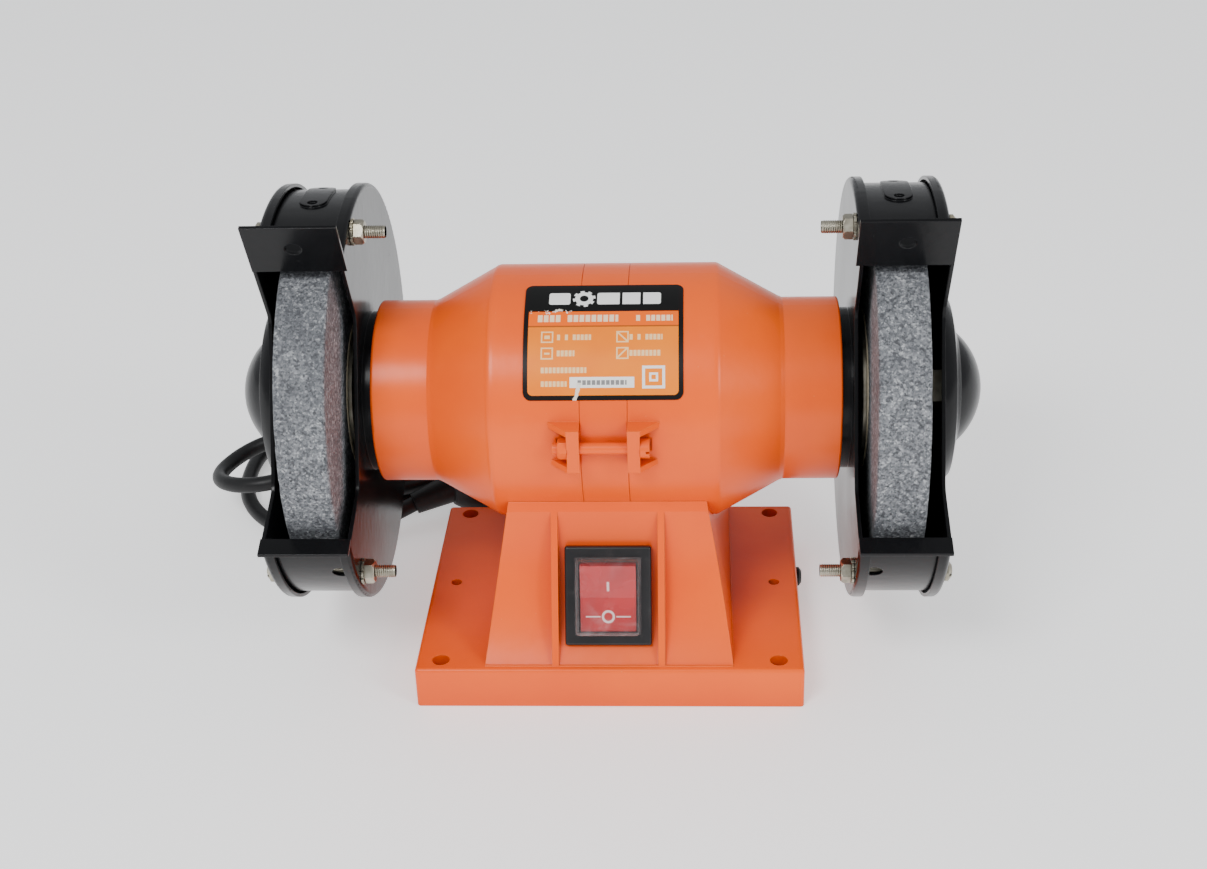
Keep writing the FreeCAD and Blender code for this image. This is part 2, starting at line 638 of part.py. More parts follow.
def radial_plate(angle, inner, outer, x0, x1, z0, z1):
    """Flat strip along a radius; z0 and z1 are measured downwards from the given angle."""
    strip = Part.makeBox(x1 - x0, outer - inner, z1 - z0, Vector(x0, inner, z0))
    strip.Placement = FreeCAD.Placement(reach(0, 0), FreeCAD.Rotation(Vector(1, 0, 0), 180 - angle))
    return strip


def guard_band(mouth):
    """Rolled strip around the wheel, its ends bent out as the eye shield's tab and a lip."""
    x0 = GUARD_INNER_X + SHEET + 0.05
    x1 = COVER_X - SHEET - 0.9
    inner = BAND_RADIUS - BAND_SHEET
    band = tube(BAND_RADIUS, inner, x0, x1)
    slot_spot = reach(-32.0, BAND_RADIUS - 5)
    slot = Part.makeCylinder(3.0, 10, Vector(x0 + 4.4, slot_spot.y, slot_spot.z),
                             reach(-32.0, 1.0) - reach(-32.0, 0.0))
    band = band.cut(mouth).cut(slot).fuse(guard_pad())

    root_start = INNER_RIM_END + 0.1
    root_end = COVER_RIM_START - 0.1
    gap = 0.05
    tab = radial_plate(MOUTH_TOP, inner, BAND_RADIUS + SHEET, root_start, root_end, -SHEET, gap)
    tab = tab.fuse(radial_plate(MOUTH_TOP, inner, TAB_OUTER, TAB_INNER_X, TAB_OUTER_X, gap, gap + SHEET))
    hole_spot = reach(MOUTH_TOP, TAB_HOLE_REACH, (TAB_INNER_X + TAB_OUTER_X) / 2)
    along = reach(MOUTH_TOP - 90, 1.0) - reach(MOUTH_TOP - 90, 0.0)
    hole = Part.makeCylinder(TAB_HOLE_RADIUS, 10, hole_spot - along * 5, along)
    lip = radial_plate(MOUTH_BOTTOM, inner, BAND_RADIUS + SHEET, root_start, root_end, -gap, SHEET)
    lip = lip.fuse(radial_plate(MOUTH_BOTTOM, inner, LIP_OUTER, GUARD_INNER_X, COVER_X, -gap - SHEET, -gap))
    return band.fuse(tab.cut(hole)).fuse(lip).removeSplitter()


def guard_pad():
    """Long low pad pressed up out of the band's top, with a dimple at each end."""
    x = (GUARD_INNER_X + COVER_X) / 2
    middle = 97.5
    pad = Part.makeBox(9.0, 24.0, 12, Vector(-4.5, -12.0, BAND_RADIUS - 8))
    pad = pad.makeFillet(4.4, [edge for edge in pad.Edges if edge.BoundBox.ZLength > 10])
    pad.Placement = FreeCAD.Placement(reach(0, 0, x), FreeCAD.Rotation(Vector(1, 0, 0), 90 - middle))
    raised = pad.common(tube(BAND_RADIUS + 0.8, BAND_RADIUS - BAND_SHEET, x - 10, x + 10))
    for step in (-8.0, 8.0):
        spot = reach(middle + step, BAND_RADIUS + 0.1, x)
        outward = reach(middle + step, 1.0) - reach(middle + step, 0.0)
        raised = raised.cut(Part.makeCylinder(1.7, 5, spot, outward))
    return raised


def cover_bell(inset):
    """Filled outline of the outer cover, drawn in by the sheet's thickness."""
    rim = RIM_RADIUS - inset
    face = COVER_X - inset
    step = 4.2
    dome_height = DOME_TIP - COVER_X - step - 2.8
    ball = (DOME_RADIUS ** 2 + dome_height ** 2) / (2 * dome_height)
    centre = DOME_TIP - ball
    spread = math.asin(DOME_RADIUS / ball)

    def on_dome(angle):
        return (centre + (ball - inset) * math.cos(angle), (ball - inset) * math.sin(angle))

    return turned([
        (COVER_RIM_START, 0), (COVER_RIM_START, rim), (face - 1.8, rim),
        ((face - 0.5, rim - 0.5), (face, rim - 1.8)),
        (face, DISC_RADIUS + 1.6 - inset),
        ((face + 0.5 * step, DISC_RADIUS + 0.2 - inset), (face + step, DISC_RADIUS - 1.8 - inset)),
        (face + step + 2.2, DOME_RADIUS + 1.6 - inset),
        on_dome(spread), (on_dome(spread / 2), (DOME_TIP - inset, 0)),
    ])


def outer_cover(mouth):
    """Pressed cover with a raised middle and a dome over the shaft's end."""
    shell = cover_bell(0).cut(cover_bell(SHEET)).cut(mouth)
    for spot in bolt_spots():
        shell = shell.cut(rod(COVER_BOLT_RADIUS + 0.1, 100, 112, spot.y, spot.z))
    return shell


def cover_bolts():
    """Long screws right through each guard, heads outside."""
    bolts = []
    for spot in bolt_spots():
        shank = rod(COVER_BOLT_RADIUS, COVER_BOLT_END, COVER_X + 0.05, spot.y, spot.z)
        head = rod(3.5, COVER_X + 0.05, COVER_X + 1.2, spot.y, spot.z)
        crown = Part.makeCone(3.5, 2.0, 1.2, Vector(COVER_X + 1.2, spot.y, spot.z), Vector(1, 0, 0))
        slot = block(COVER_X + 1.4, COVER_X + 4, spot.y - 4, spot.y + 4, spot.z - 0.4, spot.z + 0.4)
        bolt = shank.fuse(head).fuse(crown).cut(slot)
        bolts += [bolt, mirrored(bolt)]
    return Part.makeCompound(bolts)


def cover_nuts():
    nuts = []
    outer_end = GUARD_INNER_X - 1.1
    for spot in bolt_spots():
        nut = hexagon(7.0, -outer_end, -outer_end + 3.2, spot.y, spot.z)
        nut = nut.cut(rod(COVER_BOLT_RADIUS + 0.02, -90, -60, spot.y, spot.z))
        nuts += [nut, mirrored(nut)]
    return Part.makeCompound(nuts)


def lock_washers():
    """Toothed washers under the cover nuts."""
    washers = []
    for spot in bolt_spots():
        washer = tube(4.3, COVER_BOLT_RADIUS + 0.1, GUARD_INNER_X - 0.95, GUARD_INNER_X - 0.1, spot.y, spot.z)
        for step in range(10):
            turn = math.radians(36 * step)
            notch = rod(0.6, 70, 90, spot.y + 4.3 * math.cos(turn), spot.z + 4.3 * math.sin(turn))
            washer = washer.cut(notch)
        washers += [washer, mirrored(washer)]
    return Part.makeCompound(washers)


# Switch -------------------------------------------------------------------------
def switch_housing():
    """Black case with its bezel outside the pedestal's front."""
    half_w = SWITCH_WIDTH / 2
    half_h = SWITCH_HEIGHT / 2
    bezel = Part.makeBox(SWITCH_WIDTH, SWITCH_HEIGHT, 2.6, Vector(-half_w, -half_h, 0.05))
    rims = [edge for edge in bezel.Edges if edge.BoundBox.ZMax > 2]
    bezel = bezel.makeFillet(0.9, rims)
    case = Part.makeBox(22.0, 28.2, 18.0, Vector(-11.0, -14.1, -17.9))
    well_x = ROCKER_WIDTH / 2 + 0.5
    well_y = ROCKER_HEIGHT / 2 + 0.95
    well = Part.makeBox(2 * well_x, 2 * well_y, 20.0, Vector(-well_x, -well_y, -14.0))
    pin_holes = rod(ROCKER_PIN_RADIUS + RUNNING_GAP, -10.6, 10.6, 0, ROCKER_PIVOT)
    return on_front(bezel.fuse(case).cut(well).cut(pin_holes), SWITCH_INSET)


def switch_rocker():
    """Red rocker, resting with its lower end pressed in."""
    side = -ROCKER_WIDTH / 2
    half = ROCKER_HEIGHT / 2
    corners = [
        Vector(side, -half, -1.5), Vector(side, -half, 3.2), Vector(side, 0, 1.9),
        Vector(side, half, 3.2), Vector(side, half, -1.5), Vector(side, 5.0, -8.0),
        Vector(side, -5.0, -8.0), Vector(side, -half, -1.5),
    ]
    rocker = Part.Face(Part.makePolygon(corners)).extrude(Vector(ROCKER_WIDTH, 0, 0))
    rocker = rocker.fuse(rod(ROCKER_PIN_RADIUS, -10.4, 10.4, 0, ROCKER_PIVOT))
    rocker.rotate(Vector(0, 0, ROCKER_PIVOT), Vector(1, 0, 0), ROCKER_TILT)
    return on_front(rocker, SWITCH_INSET)


def switch_dust_cover():
    """Clear soft cap clipped over the rocker."""
    flange = Part.makeBox(21.8, 25.6, 0.8, Vector(-10.9, -12.8, 2.7))
    cap = Part.makeBox(20.8, 24.9, 5.4, Vector(-10.4, -12.45, 2.7))
    cap = cap.makeFillet(1.2, [edge for edge in cap.Edges if edge.BoundBox.ZMax > 8])
    inside = Part.makeBox(19.6, 24.3, 5.6, Vector(-9.8, -12.15, 1.8))
    return on_front(flange.fuse(cap).cut(inside), SWITCH_INSET)


def switch_terminals():
    blades = []
    for x in (-5.0, 5.0):
        for y in (-7.0, 7.0):
            blades.append(Part.makeBox(0.8, 6.3, 7.0, Vector(x - 0.4, y - 3.15, -24.9)))
    return on_front(Part.makeCompound(blades), SWITCH_INSET)


# Electrics in the pedestal ------------------------------------------------------
CAPACITOR_Y = 26.0
CAPACITOR_Z = 18.5
CAPACITOR_RADIUS = 13.0
TERMINAL_Y = 6.4            # the terminal block's middle, under the motor's wires


def run_capacitor():
    can = rod(CAPACITOR_RADIUS, -22, 20, CAPACITOR_Y, CAPACITOR_Z)
    can = can.makeFillet(1.5, [can.Edges[0], can.Edges[2]])
    for y in (CAPACITOR_Y - 5, CAPACITOR_Y + 5):
        can = can.fuse(block(20, 27, y - 0.4, y + 0.4, CAPACITOR_Z - 3, CAPACITOR_Z + 3))
    return can


def capacitor_clip():
    """Sprung strap that holds the capacitor to the bottom cover."""
    inner = CAPACITOR_RADIUS + 0.05
    band = tube(inner + 1.0, inner, -6, 6, CAPACITOR_Y, CAPACITOR_Z)
    gap = block(-7, 7, CAPACITOR_Y - 5, CAPACITOR_Y + 5, CAPACITOR_Z, CAPACITOR_Z + 20)
    foot = block(-6, 6, CAPACITOR_Y - 8, CAPACITOR_Y + 8, 3.65, 4.65)
    bridge = foot.fuse(band.cut(gap))
    return bridge.cut(rod(inner, -7, 7, CAPACITOR_Y, CAPACITOR_Z))


def terminal_block():
    body = block(-18, 18, TERMINAL_Y - 5, TERMINAL_Y + 5, 3.65, 15)
    for step in range(4):
        x = -13.5 + 9 * step
        body = body.cut(Part.makeCylinder(2.2, 6, Vector(x, TERMINAL_Y, 10)))
        body = body.cut(Part.makeCylinder(1.6, 14, Vector(x, TERMINAL_Y - 7, 8), Vector(0, 1, 0)))
    return body


def motor_leads():
    """Two insulated wires from the stator down to the terminal block."""
    stator_bottom = AXIS_Z - MOTOR_RADIUS + MOTOR_WALL
    wires = []
    for x in (-2.2, 2.2):
        wires.append(Part.makeCylinder(1.1, stator_bottom - 15.6, Vector(x, TERMINAL_Y, 15.1)))
    return Part.makeCompound(wires)


# Mains lead ---------------------------------------------------------------------
def strain_relief():
    """Flexible sleeve that leaves the pedestal's back, grooved to bend."""
    wall_face = 52.2
    along = Vector(0, 1, 0)

    def at(y):
        return Vector(0, y, CORD_EXIT_Z)

    neck = Part.makeCylinder(5.0, 8.2, at(wall_face - 8.2), along)
    collar = Part.makeCylinder(7.6, 2.2, at(wall_face), along)
    sleeve = Part.makeCone(6.0, 4.2, RELIEF_END_Y - wall_face - 2.2, at(wall_face + 2.2), along)
    body = neck.fuse(collar).fuse(sleeve)
    for step in range(6):
        y = wall_face + 6.0 + 3.6 * step
        core = Part.makeCylinder(4.4 - 0.14 * step, 1.5, at(y), along)
        ring = Part.makeCylinder(8, 1.5, at(y), along).cut(core)
        bridge = block(-1.1, 1.1, y - 1, y + 3, CORD_EXIT_Z - 8, CORD_EXIT_Z + 8)
        side_bridge = block(-8, 8, y - 1, y + 3, CORD_EXIT_Z - 1.1, CORD_EXIT_Z + 1.1)
        body = body.cut(ring.cut(bridge if step % 2 else side_bridge))
    return body


def rounded_path(points):
    """Straight runs joined by tangent arcs; prints each bend's radius."""
    spots = [Vector(*point) for point in points]
    edges = []
    start = spots[0]
    radii = []
    for before, corner, after in zip(spots, spots[1:], spots[2:]):
        come = (corner - before).normalize()
        leave = (after - corner).normalize()
        turn = come.getAngle(leave)
        cut_back = 0.45 * min((corner - before).Length, (after - corner).Length)
        radius = cut_back / math.tan(turn / 2)
        radii.append(radius)
        inward = (leave - come).normalize()
        centre = corner + inward * (radius / math.cos(turn / 2))
        entry = corner - come * cut_back
        edges.append(Part.LineSegment(start, entry).toShape())
        start = corner + leave * cut_back
        edges.append(Part.Arc(entry, centre - inward * radius, start).toShape())
    edges.append(Part.LineSegment(start, spots[-1]).toShape())
    print("bend radii:", " ".join("%.0f" % radius for radius in radii))
    return Part.Wire(edges)


def cord_run(points):
    """Round lead swept along its route, with its volume compared to section times length."""
    path = rounded_path(points)
    heading = (Vector(*points[1]) - Vector(*points[0])).normalize()
    circle = Part.Circle(Vector(*points[0]), heading, CORD_RADIUS).toShape()
    run = path.makePipeShell([Part.Wire([circle])], True, True)
    expected = math.pi * CORD_RADIUS ** 2 * path.Length
    print("lead length %.0f mm, volume ratio %.4f" % (path.Length, run.Volume / expected))
    return run


def coil_section(grow=0.0):
    """Outline of the coil's bundle: a spiral of turns, two high and one loose turn on top."""
    bottom = COIL_BOTTOM - grow
    half = 3.7 * CORD_RADIUS + grow
    shoulder = COIL_BOTTOM + 4.2 * CORD_RADIUS + grow
    crest = COIL_BOTTOM + 6.0 * CORD_RADIUS + grow
    top_half = CORD_RADIUS + 2.5
    points = [
        (-half + 1.5, bottom), (half - 1.5, bottom), (half, bottom + 1.5), (half, shoulder - 2),
        (top_half, crest), (-top_half, crest), (-half, shoulder - 2), (-half, bottom + 1.5),
        (-half + 1.5, bottom),
    ]
    outline = [Vector(COIL_X + COIL_RADIUS + across, COIL_Y, up) for across, up in points]
    return Part.Face(Part.makePolygon(outline))


def cord_coil():
    """The wound part of the lead, as one ring."""
    return coil_section().revolve(Vector(COIL_X, COIL_Y, 0), Vector(0, 0, 1), 360)


def cord_tie():
    """Strap around the coil's bundle."""
    around = Vector(COIL_X, COIL_Y, 0)
    outer = coil_section(0.7).revolve(around, Vector(0, 0, 1), 15)
    strap = outer.cut(coil_section(0.05).revolve(around, Vector(0, 0, 1), 360))
    strap.rotate(around, Vector(0, 0, 1), -32)
    return strap


def on_plug(shape):
    """Move a shape drawn along +X from the lead's end onto the plug's place."""
    moved = shape.copy()
    spot = Vector(PLUG_START.x, PLUG_START.y, PLUG_AXIS_Z)
    moved.Placement = FreeCAD.Placement(spot, FreeCAD.Rotation(Vector(0, 0, 1), PLUG_HEADING))
    return moved


def rounded_outline(x, width, height, radius):
    """Closed rounded rectangle across the plug's axis."""
    corners = [
        Vector(x, -width / 2, -height / 2), Vector(x, width / 2, -height / 2),
        Vector(x, width / 2, height / 2), Vector(x, -width / 2, height / 2),
    ]
    solid = Part.Face(Part.makePolygon(corners + [corners[0]])).extrude(Vector(1, 0, 0))
    solid = solid.makeFillet(radius, [edge for edge in solid.Edges if edge.BoundBox.XLength > 0.5])
    lowest = min(solid.Faces, key=lambda side: side.CenterOfMass.x)
    return lowest.OuterWire


def mains_plug():
    """Moulded two-pin plug lying on the table, with its ribbed tail."""
    body = Part.makeLoft([
        rounded_outline(15, 14, 13, 5.5), rounded_outline(24, 25, 21, 8),
        rounded_outline(36, 33, 26, 10), rounded_outline(46, 34, 26, 10),
    ], True)
    body = on_plug(body)
    tip = on_plug(Part.Vertex(Vector(17, 0, 0))).Point
    along = (tip - PLUG_START).normalize()
    length = (tip - PLUG_START).Length
    tail = Part.makeCone(4.2, 5.9, length, PLUG_START, along)
    return body.fuse(tail)


def plug_pins():
    pins = []
    for y in (-9.5, 9.5):
        pin = Part.makeCylinder(2.4, 17.0, Vector(46, y, 0), Vector(1, 0, 0))
        tip = Part.makeSphere(2.4, Vector(63, y, 0))
        pins.append(pin.fuse(tip))
    return on_plug(Part.makeCompound(pins))


# Write every piece --------------------------------------------------------------
save("base_pedestal", base_pedestal())
save("bottom_cover", bottom_cover())
save("bottom_cover_screws", bottom_cover_screws())
save("pedestal_screws", Part.makeCompound(pedestal_screw_bodies(0)))
save("side_plug", side_plug())
save_pair("housing", housing())
save("stator_band", stator_band())
save("tie_screws", tie_screws())
save("tie_nuts", tie_nuts())
save("nameplate", nameplate())
save("stator_core", stator_core())
save("stator_windings", stator_windings())
save("rotor_core", rotor_core())
save("rotor_shaft", rotor_shaft())
save_pair("bearing_outer", bearing_outer())
save_pair("bearing_inner", bearing_inner())
save_pair("bearing_balls", bearing_balls())
save_pair("bearing_cage", bearing_cage())
save("wave_washer", wave_washer())
save_pair("inner_flange", inner_flange())
save_pair("outer_flange", outer_flange())
save_pair("wheel", wheel())
save_pair("blotters", blotters())
save_pair("wheel_nut", wheel_nut())
MOUTH = mouth_cutter()
save_pair("inner_guard", inner_guard(MOUTH))
save_pair("guard_band", guard_band(MOUTH))
save_pair("outer_cover", outer_cover(MOUTH))
GUARD_SCREWS = guard_screw_bodies(0)
save("guard_screws", Part.makeCompound(GUARD_SCREWS + [mirrored(screw) for screw in GUARD_SCREWS]))
save("cover_bolts", cover_bolts())
save("cover_nuts", cover_nuts())
save("lock_washers", lock_washers())
save("switch_housing", switch_housing())
save("switch_rocker", switch_rocker())
save("switch_dust_cover", switch_dust_cover())
save("switch_terminals", switch_terminals())
save("run_capacitor", run_capacitor())
save("capacitor_clip", capacitor_clip())
save("terminal_block", terminal_block())
save("motor_leads", motor_leads())
save("strain_relief", strain_relief())
save("power_cord_lead", cord_run(LEAD_ROUTE))
save("power_cord_tail", cord_run(TAIL_ROUTE))
save("power_cord_coil", cord_coil())
save("cord_tie", cord_tie())
save("mains_plug", mains_plug())
save("plug_pins", plug_pins())
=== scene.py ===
import json
import math

import bpy
from mathutils import Matrix, Vector, noise


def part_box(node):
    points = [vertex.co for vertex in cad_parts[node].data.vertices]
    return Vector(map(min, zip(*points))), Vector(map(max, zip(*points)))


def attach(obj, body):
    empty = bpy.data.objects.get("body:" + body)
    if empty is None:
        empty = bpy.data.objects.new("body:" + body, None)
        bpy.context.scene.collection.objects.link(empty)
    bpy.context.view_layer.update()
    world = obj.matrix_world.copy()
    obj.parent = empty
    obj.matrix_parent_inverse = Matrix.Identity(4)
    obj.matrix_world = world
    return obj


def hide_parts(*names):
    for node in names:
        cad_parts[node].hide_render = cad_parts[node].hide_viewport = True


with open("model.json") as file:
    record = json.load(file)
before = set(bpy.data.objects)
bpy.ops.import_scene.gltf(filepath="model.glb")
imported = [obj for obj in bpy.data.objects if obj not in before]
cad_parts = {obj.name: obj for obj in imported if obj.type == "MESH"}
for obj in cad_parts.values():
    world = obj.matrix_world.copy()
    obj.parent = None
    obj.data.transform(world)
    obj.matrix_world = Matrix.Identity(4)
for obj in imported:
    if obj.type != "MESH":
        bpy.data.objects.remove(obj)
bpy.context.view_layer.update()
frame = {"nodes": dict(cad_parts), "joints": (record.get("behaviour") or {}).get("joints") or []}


# Base and pedestal ---------------------------------------------------------------------
# One die casting: a flat base plate with four bolt holes and a tapered pedestal that
# carries the motor. It is sprayed with thick orange gloss enamel. Its colour has painted
# shade darkening the corners, edges lightened for thin paint and a painted highlight, and
# a little dust and handling marks.
MM = 1000.0  # millimetres in a metre


class Signal:
    """One output of a material's node. Sums and products of signals add Math nodes."""

    def __init__(self, tree, socket=None):
        self.tree = tree
        self.socket = socket

    def node(self, kind, settings=None, sockets=None, out=0):
        """Add any kind of node: settings first, then values or links for its sockets."""
        made = self.tree.nodes.new(kind)
        for name, value in (settings or {}).items():
            if name == "stops":
                ramp = made.color_ramp.elements
                while len(ramp) < len(value):
                    ramp.new(0.5)
                for stop, (position, colour) in zip(ramp, value):
                    stop.position = position
                    stop.color = (*colour, 1.0)
            else:
                setattr(made, name, value)
        for name, value in (sockets or {}).items():
            if isinstance(value, Signal):
                self.tree.links.new(value.socket, made.inputs[name])
            else:
                made.inputs[name].default_value = value
        return Signal(self.tree, made.outputs[out])

    def math(self, operation, *values):
        return self.node("ShaderNodeMath", {"operation": operation}, dict(enumerate(values)))

    def __add__(self, other):
        return self.math("ADD", self, other)

    def __sub__(self, other):
        return self.math("SUBTRACT", self, other)

    def __rsub__(self, other):
        return self.math("SUBTRACT", other, self)

    def __mul__(self, other):
        return self.math("MULTIPLY", self, other)

    def __truediv__(self, other):
        return self.math("DIVIDE", self, other)

    def __lt__(self, other):
        return self.math("LESS_THAN", self, other)

    def __gt__(self, other):
        return self.math("GREATER_THAN", self, other)

    def __abs__(self):
        return self.math("ABSOLUTE", self)

    __radd__ = __add__
    __rmul__ = __mul__

    def ease(self, low, high):
        """0 at low and under, 1 at high and over, with a soft rise between them."""
        return self.node("ShaderNodeMapRange", {"interpolation_type": "SMOOTHSTEP"},
                         {"Value": self, "From Min": low, "From Max": high})

    def between(self, colour_at_0, colour_at_1):
        """Colour that this signal mixes from two others."""
        def full(colour):
            return colour if isinstance(colour, Signal) else (*colour, 1.0)

        return self.node("ShaderNodeMix", {"data_type": "RGBA"},
                         {0: self, 6: full(colour_at_0), 7: full(colour_at_1)}, out=2)

    def grain(self, scale, detail=3.0, roughness=0.55, stretch=(1, 1, 1)):
        """Noise from 0 to 1 laid out by this place; scale is in repeats per metre."""
        place = self
        if stretch != (1, 1, 1):
            place = self.node("ShaderNodeVectorMath", {"operation": "MULTIPLY"}, {0: self, 1: stretch})
        return self.node("ShaderNodeTexNoise", {},
                         {"Vector": place, "Scale": scale, "Detail": detail, "Roughness": roughness})

    def cells(self, scale, out=0):
        """Scattered cells: how far the nearest middle is, or with out=1 a colour for each."""
        return self.node("ShaderNodeTexVoronoi", {}, {"Vector": self, "Scale": scale}, out=out)

    def axes(self):
        """The place's x, y and z in millimetres."""
        outputs = self.node("ShaderNodeSeparateXYZ", {}, {0: self}).socket.node.outputs
        return [Signal(self.tree, outputs[axis]) * MM for axis in range(3)]


def start_finish(name):
    """A new material, and the place on the object that its patterns are laid out by."""
    finish = bpy.data.materials.new(name)
    finish.use_nodes = True
    finish.node_tree.nodes.clear()
    place = Signal(finish.node_tree).node("ShaderNodeTexCoord", out=3)
    return finish, place


def end_finish(place, height=None, depth=0.0001, edge=0.0, **sockets):
    """Principled surface with its bump; a rounding radius softens the light on edges."""
    tree = place.tree
    inputs = {name.replace("_", " "): value for name, value in sockets.items()}
    normal = None
    if edge:
        normal = place.node("ShaderNodeBevel", {"samples": 6}, {"Radius": edge})
    if height is not None:
        bump = {"Height": height, "Distance": depth, "Strength": 1.0}
        if normal:
            bump["Normal"] = normal
        normal = place.node("ShaderNodeBump", {}, bump)
    if normal:
        inputs["Normal"] = normal
    for name, value in inputs.items():
        if isinstance(value, tuple):
            inputs[name] = (*value, 1.0)
    shader = place.node("ShaderNodeBsdfPrincipled", {}, inputs)
    output = tree.nodes.new("ShaderNodeOutputMaterial")
    tree.links.new(shader.socket, output.inputs["Surface"])


def worn_and_highlit_edges(place, radius):
    """1 along sharp edges and 0 on flats, from how far a rounded normal leans."""
    rounded = place.node("ShaderNodeBevel", {"samples": 6}, {"Radius": radius})
    flat = place.node("ShaderNodeNewGeometry", out=1)
    agree = place.node("ShaderNodeVectorMath", {"operation": "DOT_PRODUCT"}, {0: rounded, 1: flat}, out=1)
    return (1.0 - agree).ease(0.02, 0.22)


def recess_shade(place, reach):
    """1 in tight corners and 0 in the open, where shade falls; used to paint shade into colours."""
    open_share = place.node("ShaderNodeAmbientOcclusion", {"samples": 6}, {"Distance": reach}, out=1)
    return 1.0 - open_share


def dress(finish, *nodes):
    """Give CAD nodes one finish all over."""
    for name in nodes:
        node = frame["nodes"][name]
        if not node.material_slots:
            node.data.materials.append(finish)
        for held in node.material_slots:
            held.material = finish


def orange_enamel():
    finish, place = start_finish("orange_enamel")
    thin, thick, painted_shade_orange = (0.90, 0.098, 0.0), (0.96, 0.118, 0.0), (0.40, 0.028, 0.0)
    rubbed_and_highlit, dusty = (0.98, 0.22, 0.03), (0.80, 0.36, 0.18)
    cloud = place.grain(22.0, 4.0)
    fine = place.grain(420.0, 2.0)
    specks = place.cells(260.0)
    dust = (specks < 0.045) * place.grain(55.0).ease(0.52, 0.66)
    marks = place.grain(90.0, 6.0, 0.7, stretch=(1, 1, 5)).ease(0.62, 0.74)
    body = cloud.ease(0.3, 0.7).between(thin, thick)
    # painted shade: the orange is darkened where the corners are enclosed
    body = (recess_shade(place, 0.012) * 0.6).between(body, painted_shade_orange)
    # lighter along the edges: thin worn paint there, and a painted highlight
    body = (worn_and_highlit_edges(place, 0.0006) * (0.2 + fine * 0.4)).between(body, rubbed_and_highlit)
    body = (dust * 0.4 + marks * 0.04).between(body, dusty)
    rough = 0.26 + cloud * 0.08 + dust * 0.3 + marks * 0.14
    peel = place.grain(330.0, 2.0, 0.4) * 0.6 + place.grain(95.0, 2.0, 0.4)
    end_finish(place, peel, 0.00006, 0.0005, Base_Color=body, Roughness=rough,
               Specular_IOR_Level=0.3)
    return finish


ORANGE = orange_enamel()
dress(ORANGE, "base_pedestal")


# Bottom cover, its screws and the pedestal's screws ------------------------------------
# The cover is a zinc-plated steel sheet that closes the base; small machine screws
# hold it and, from inside, hold the pedestal to the motor.
def zinc_plate():
    finish, place = start_finish("zinc_plate")
    tone = place.grain(160.0, 5.0, 0.6)
    haze = place.grain(38.0, 3.0)
    dull, bright = (0.26, 0.24, 0.19), (0.50, 0.47, 0.38)
    yellowed, painted_shade_zinc = (0.42, 0.34, 0.18), (0.10, 0.085, 0.06)
    body = tone.ease(0.3, 0.72).between(dull, bright)
    body = (haze.ease(0.52, 0.7) * 0.5).between(body, yellowed)
    # painted shade: the zinc is darkened to brown in its recesses, where shade falls
    body = (recess_shade(place, 0.0025) * 0.8).between(body, painted_shade_zinc)
    rough = 0.26 + tone * 0.22
    scratch = place.grain(900.0, 3.0, 0.6, stretch=(0.15, 1, 1))
    end_finish(place, scratch, 0.00003, 0.0002, Base_Color=body, Roughness=rough, Metallic=1.0)
    return finish


ZINC = zinc_plate()
dress(ZINC, "bottom_cover", "bottom_cover_screws", "pedestal_screws")


# Run capacitor, terminal block and inner wiring ----------------------------------------
# A white moulded can strapped to the bottom cover by a spring clip, a white terminal
# block under the motor's wires, and the wires' blue insulation.
def moulded(name, dark, light, rough, grain_scale=700.0, depth=0.00004, coat=0.0, edge=0.0003):
    """Moulded plastic or rubber: two close tones, fine texture and some dust."""
    finish, place = start_finish(name)
    tone = place.grain(60.0, 4.0)
    texture = place.grain(grain_scale, 2.0, 0.5)
    dust = place.grain(240.0, 5.0, 0.65).ease(0.58, 0.78)
    body = tone.ease(0.3, 0.7).between(dark, light)
    body = (dust * 0.05).between(body, (0.42, 0.40, 0.37))
    rough = rough + tone * 0.14 + dust * 0.1
    end_finish(place, texture, depth, edge, Base_Color=body, Roughness=rough,
               Coat_Weight=coat, Coat_Roughness=0.2, Specular_IOR_Level=0.3)
    return finish


WHITE = moulded("white_moulding", (0.70, 0.69, 0.65), (0.80, 0.79, 0.76), 0.38)
dress(WHITE, "run_capacitor", "terminal_block")
dress(moulded("wire_insulation", (0.03, 0.10, 0.42), (0.04, 0.14, 0.52), 0.36), "motor_leads")
dress(ZINC, "capacitor_clip")


# Blanking plug -------------------------------------------------------------------------
# A small black rubber plug, pushed into the unused hole in the base's right side. The
# same rubber covers the mains lead, its sleeve and its plug.
RUBBER = moulded("black_rubber", (0.004, 0.004, 0.0045), (0.009, 0.009, 0.0095), 0.38,
                 grain_scale=520.0, depth=0.00005)
dress(RUBBER, "side_plug")


# Stator, rotor, shaft and bearings -----------------------------------------------------
# Stacked sheet steel with enamelled copper in its slots, a cast cage rotor pressed on
# a ground shaft, and two ball bearings with moulded cages and a spring washer.
ENDS = ("right", "left")
SHAFT = Vector(next(joint["pos_m"] for joint in frame["joints"] if joint["name"] == "rotor_spin"))


def stacked_steel():
    finish, place = start_finish("stacked_steel")
    sheet_ripple = 12.6        # radians per millimetre: a sheet every half millimetre
    along, _, _ = place.axes()
    sheets = place.math("SINE", along * sheet_ripple) * 0.5 + 0.5
    tone = place.grain(120.0, 4.0)
    body = tone.ease(0.3, 0.7).between((0.13, 0.13, 0.14), (0.24, 0.24, 0.25))
    body = (sheets * 0.35).between(body, (0.05, 0.05, 0.055))
    end_finish(place, sheets, 0.00005, Base_Color=body, Roughness=0.42 + tone * 0.15, Metallic=0.9)
    return finish


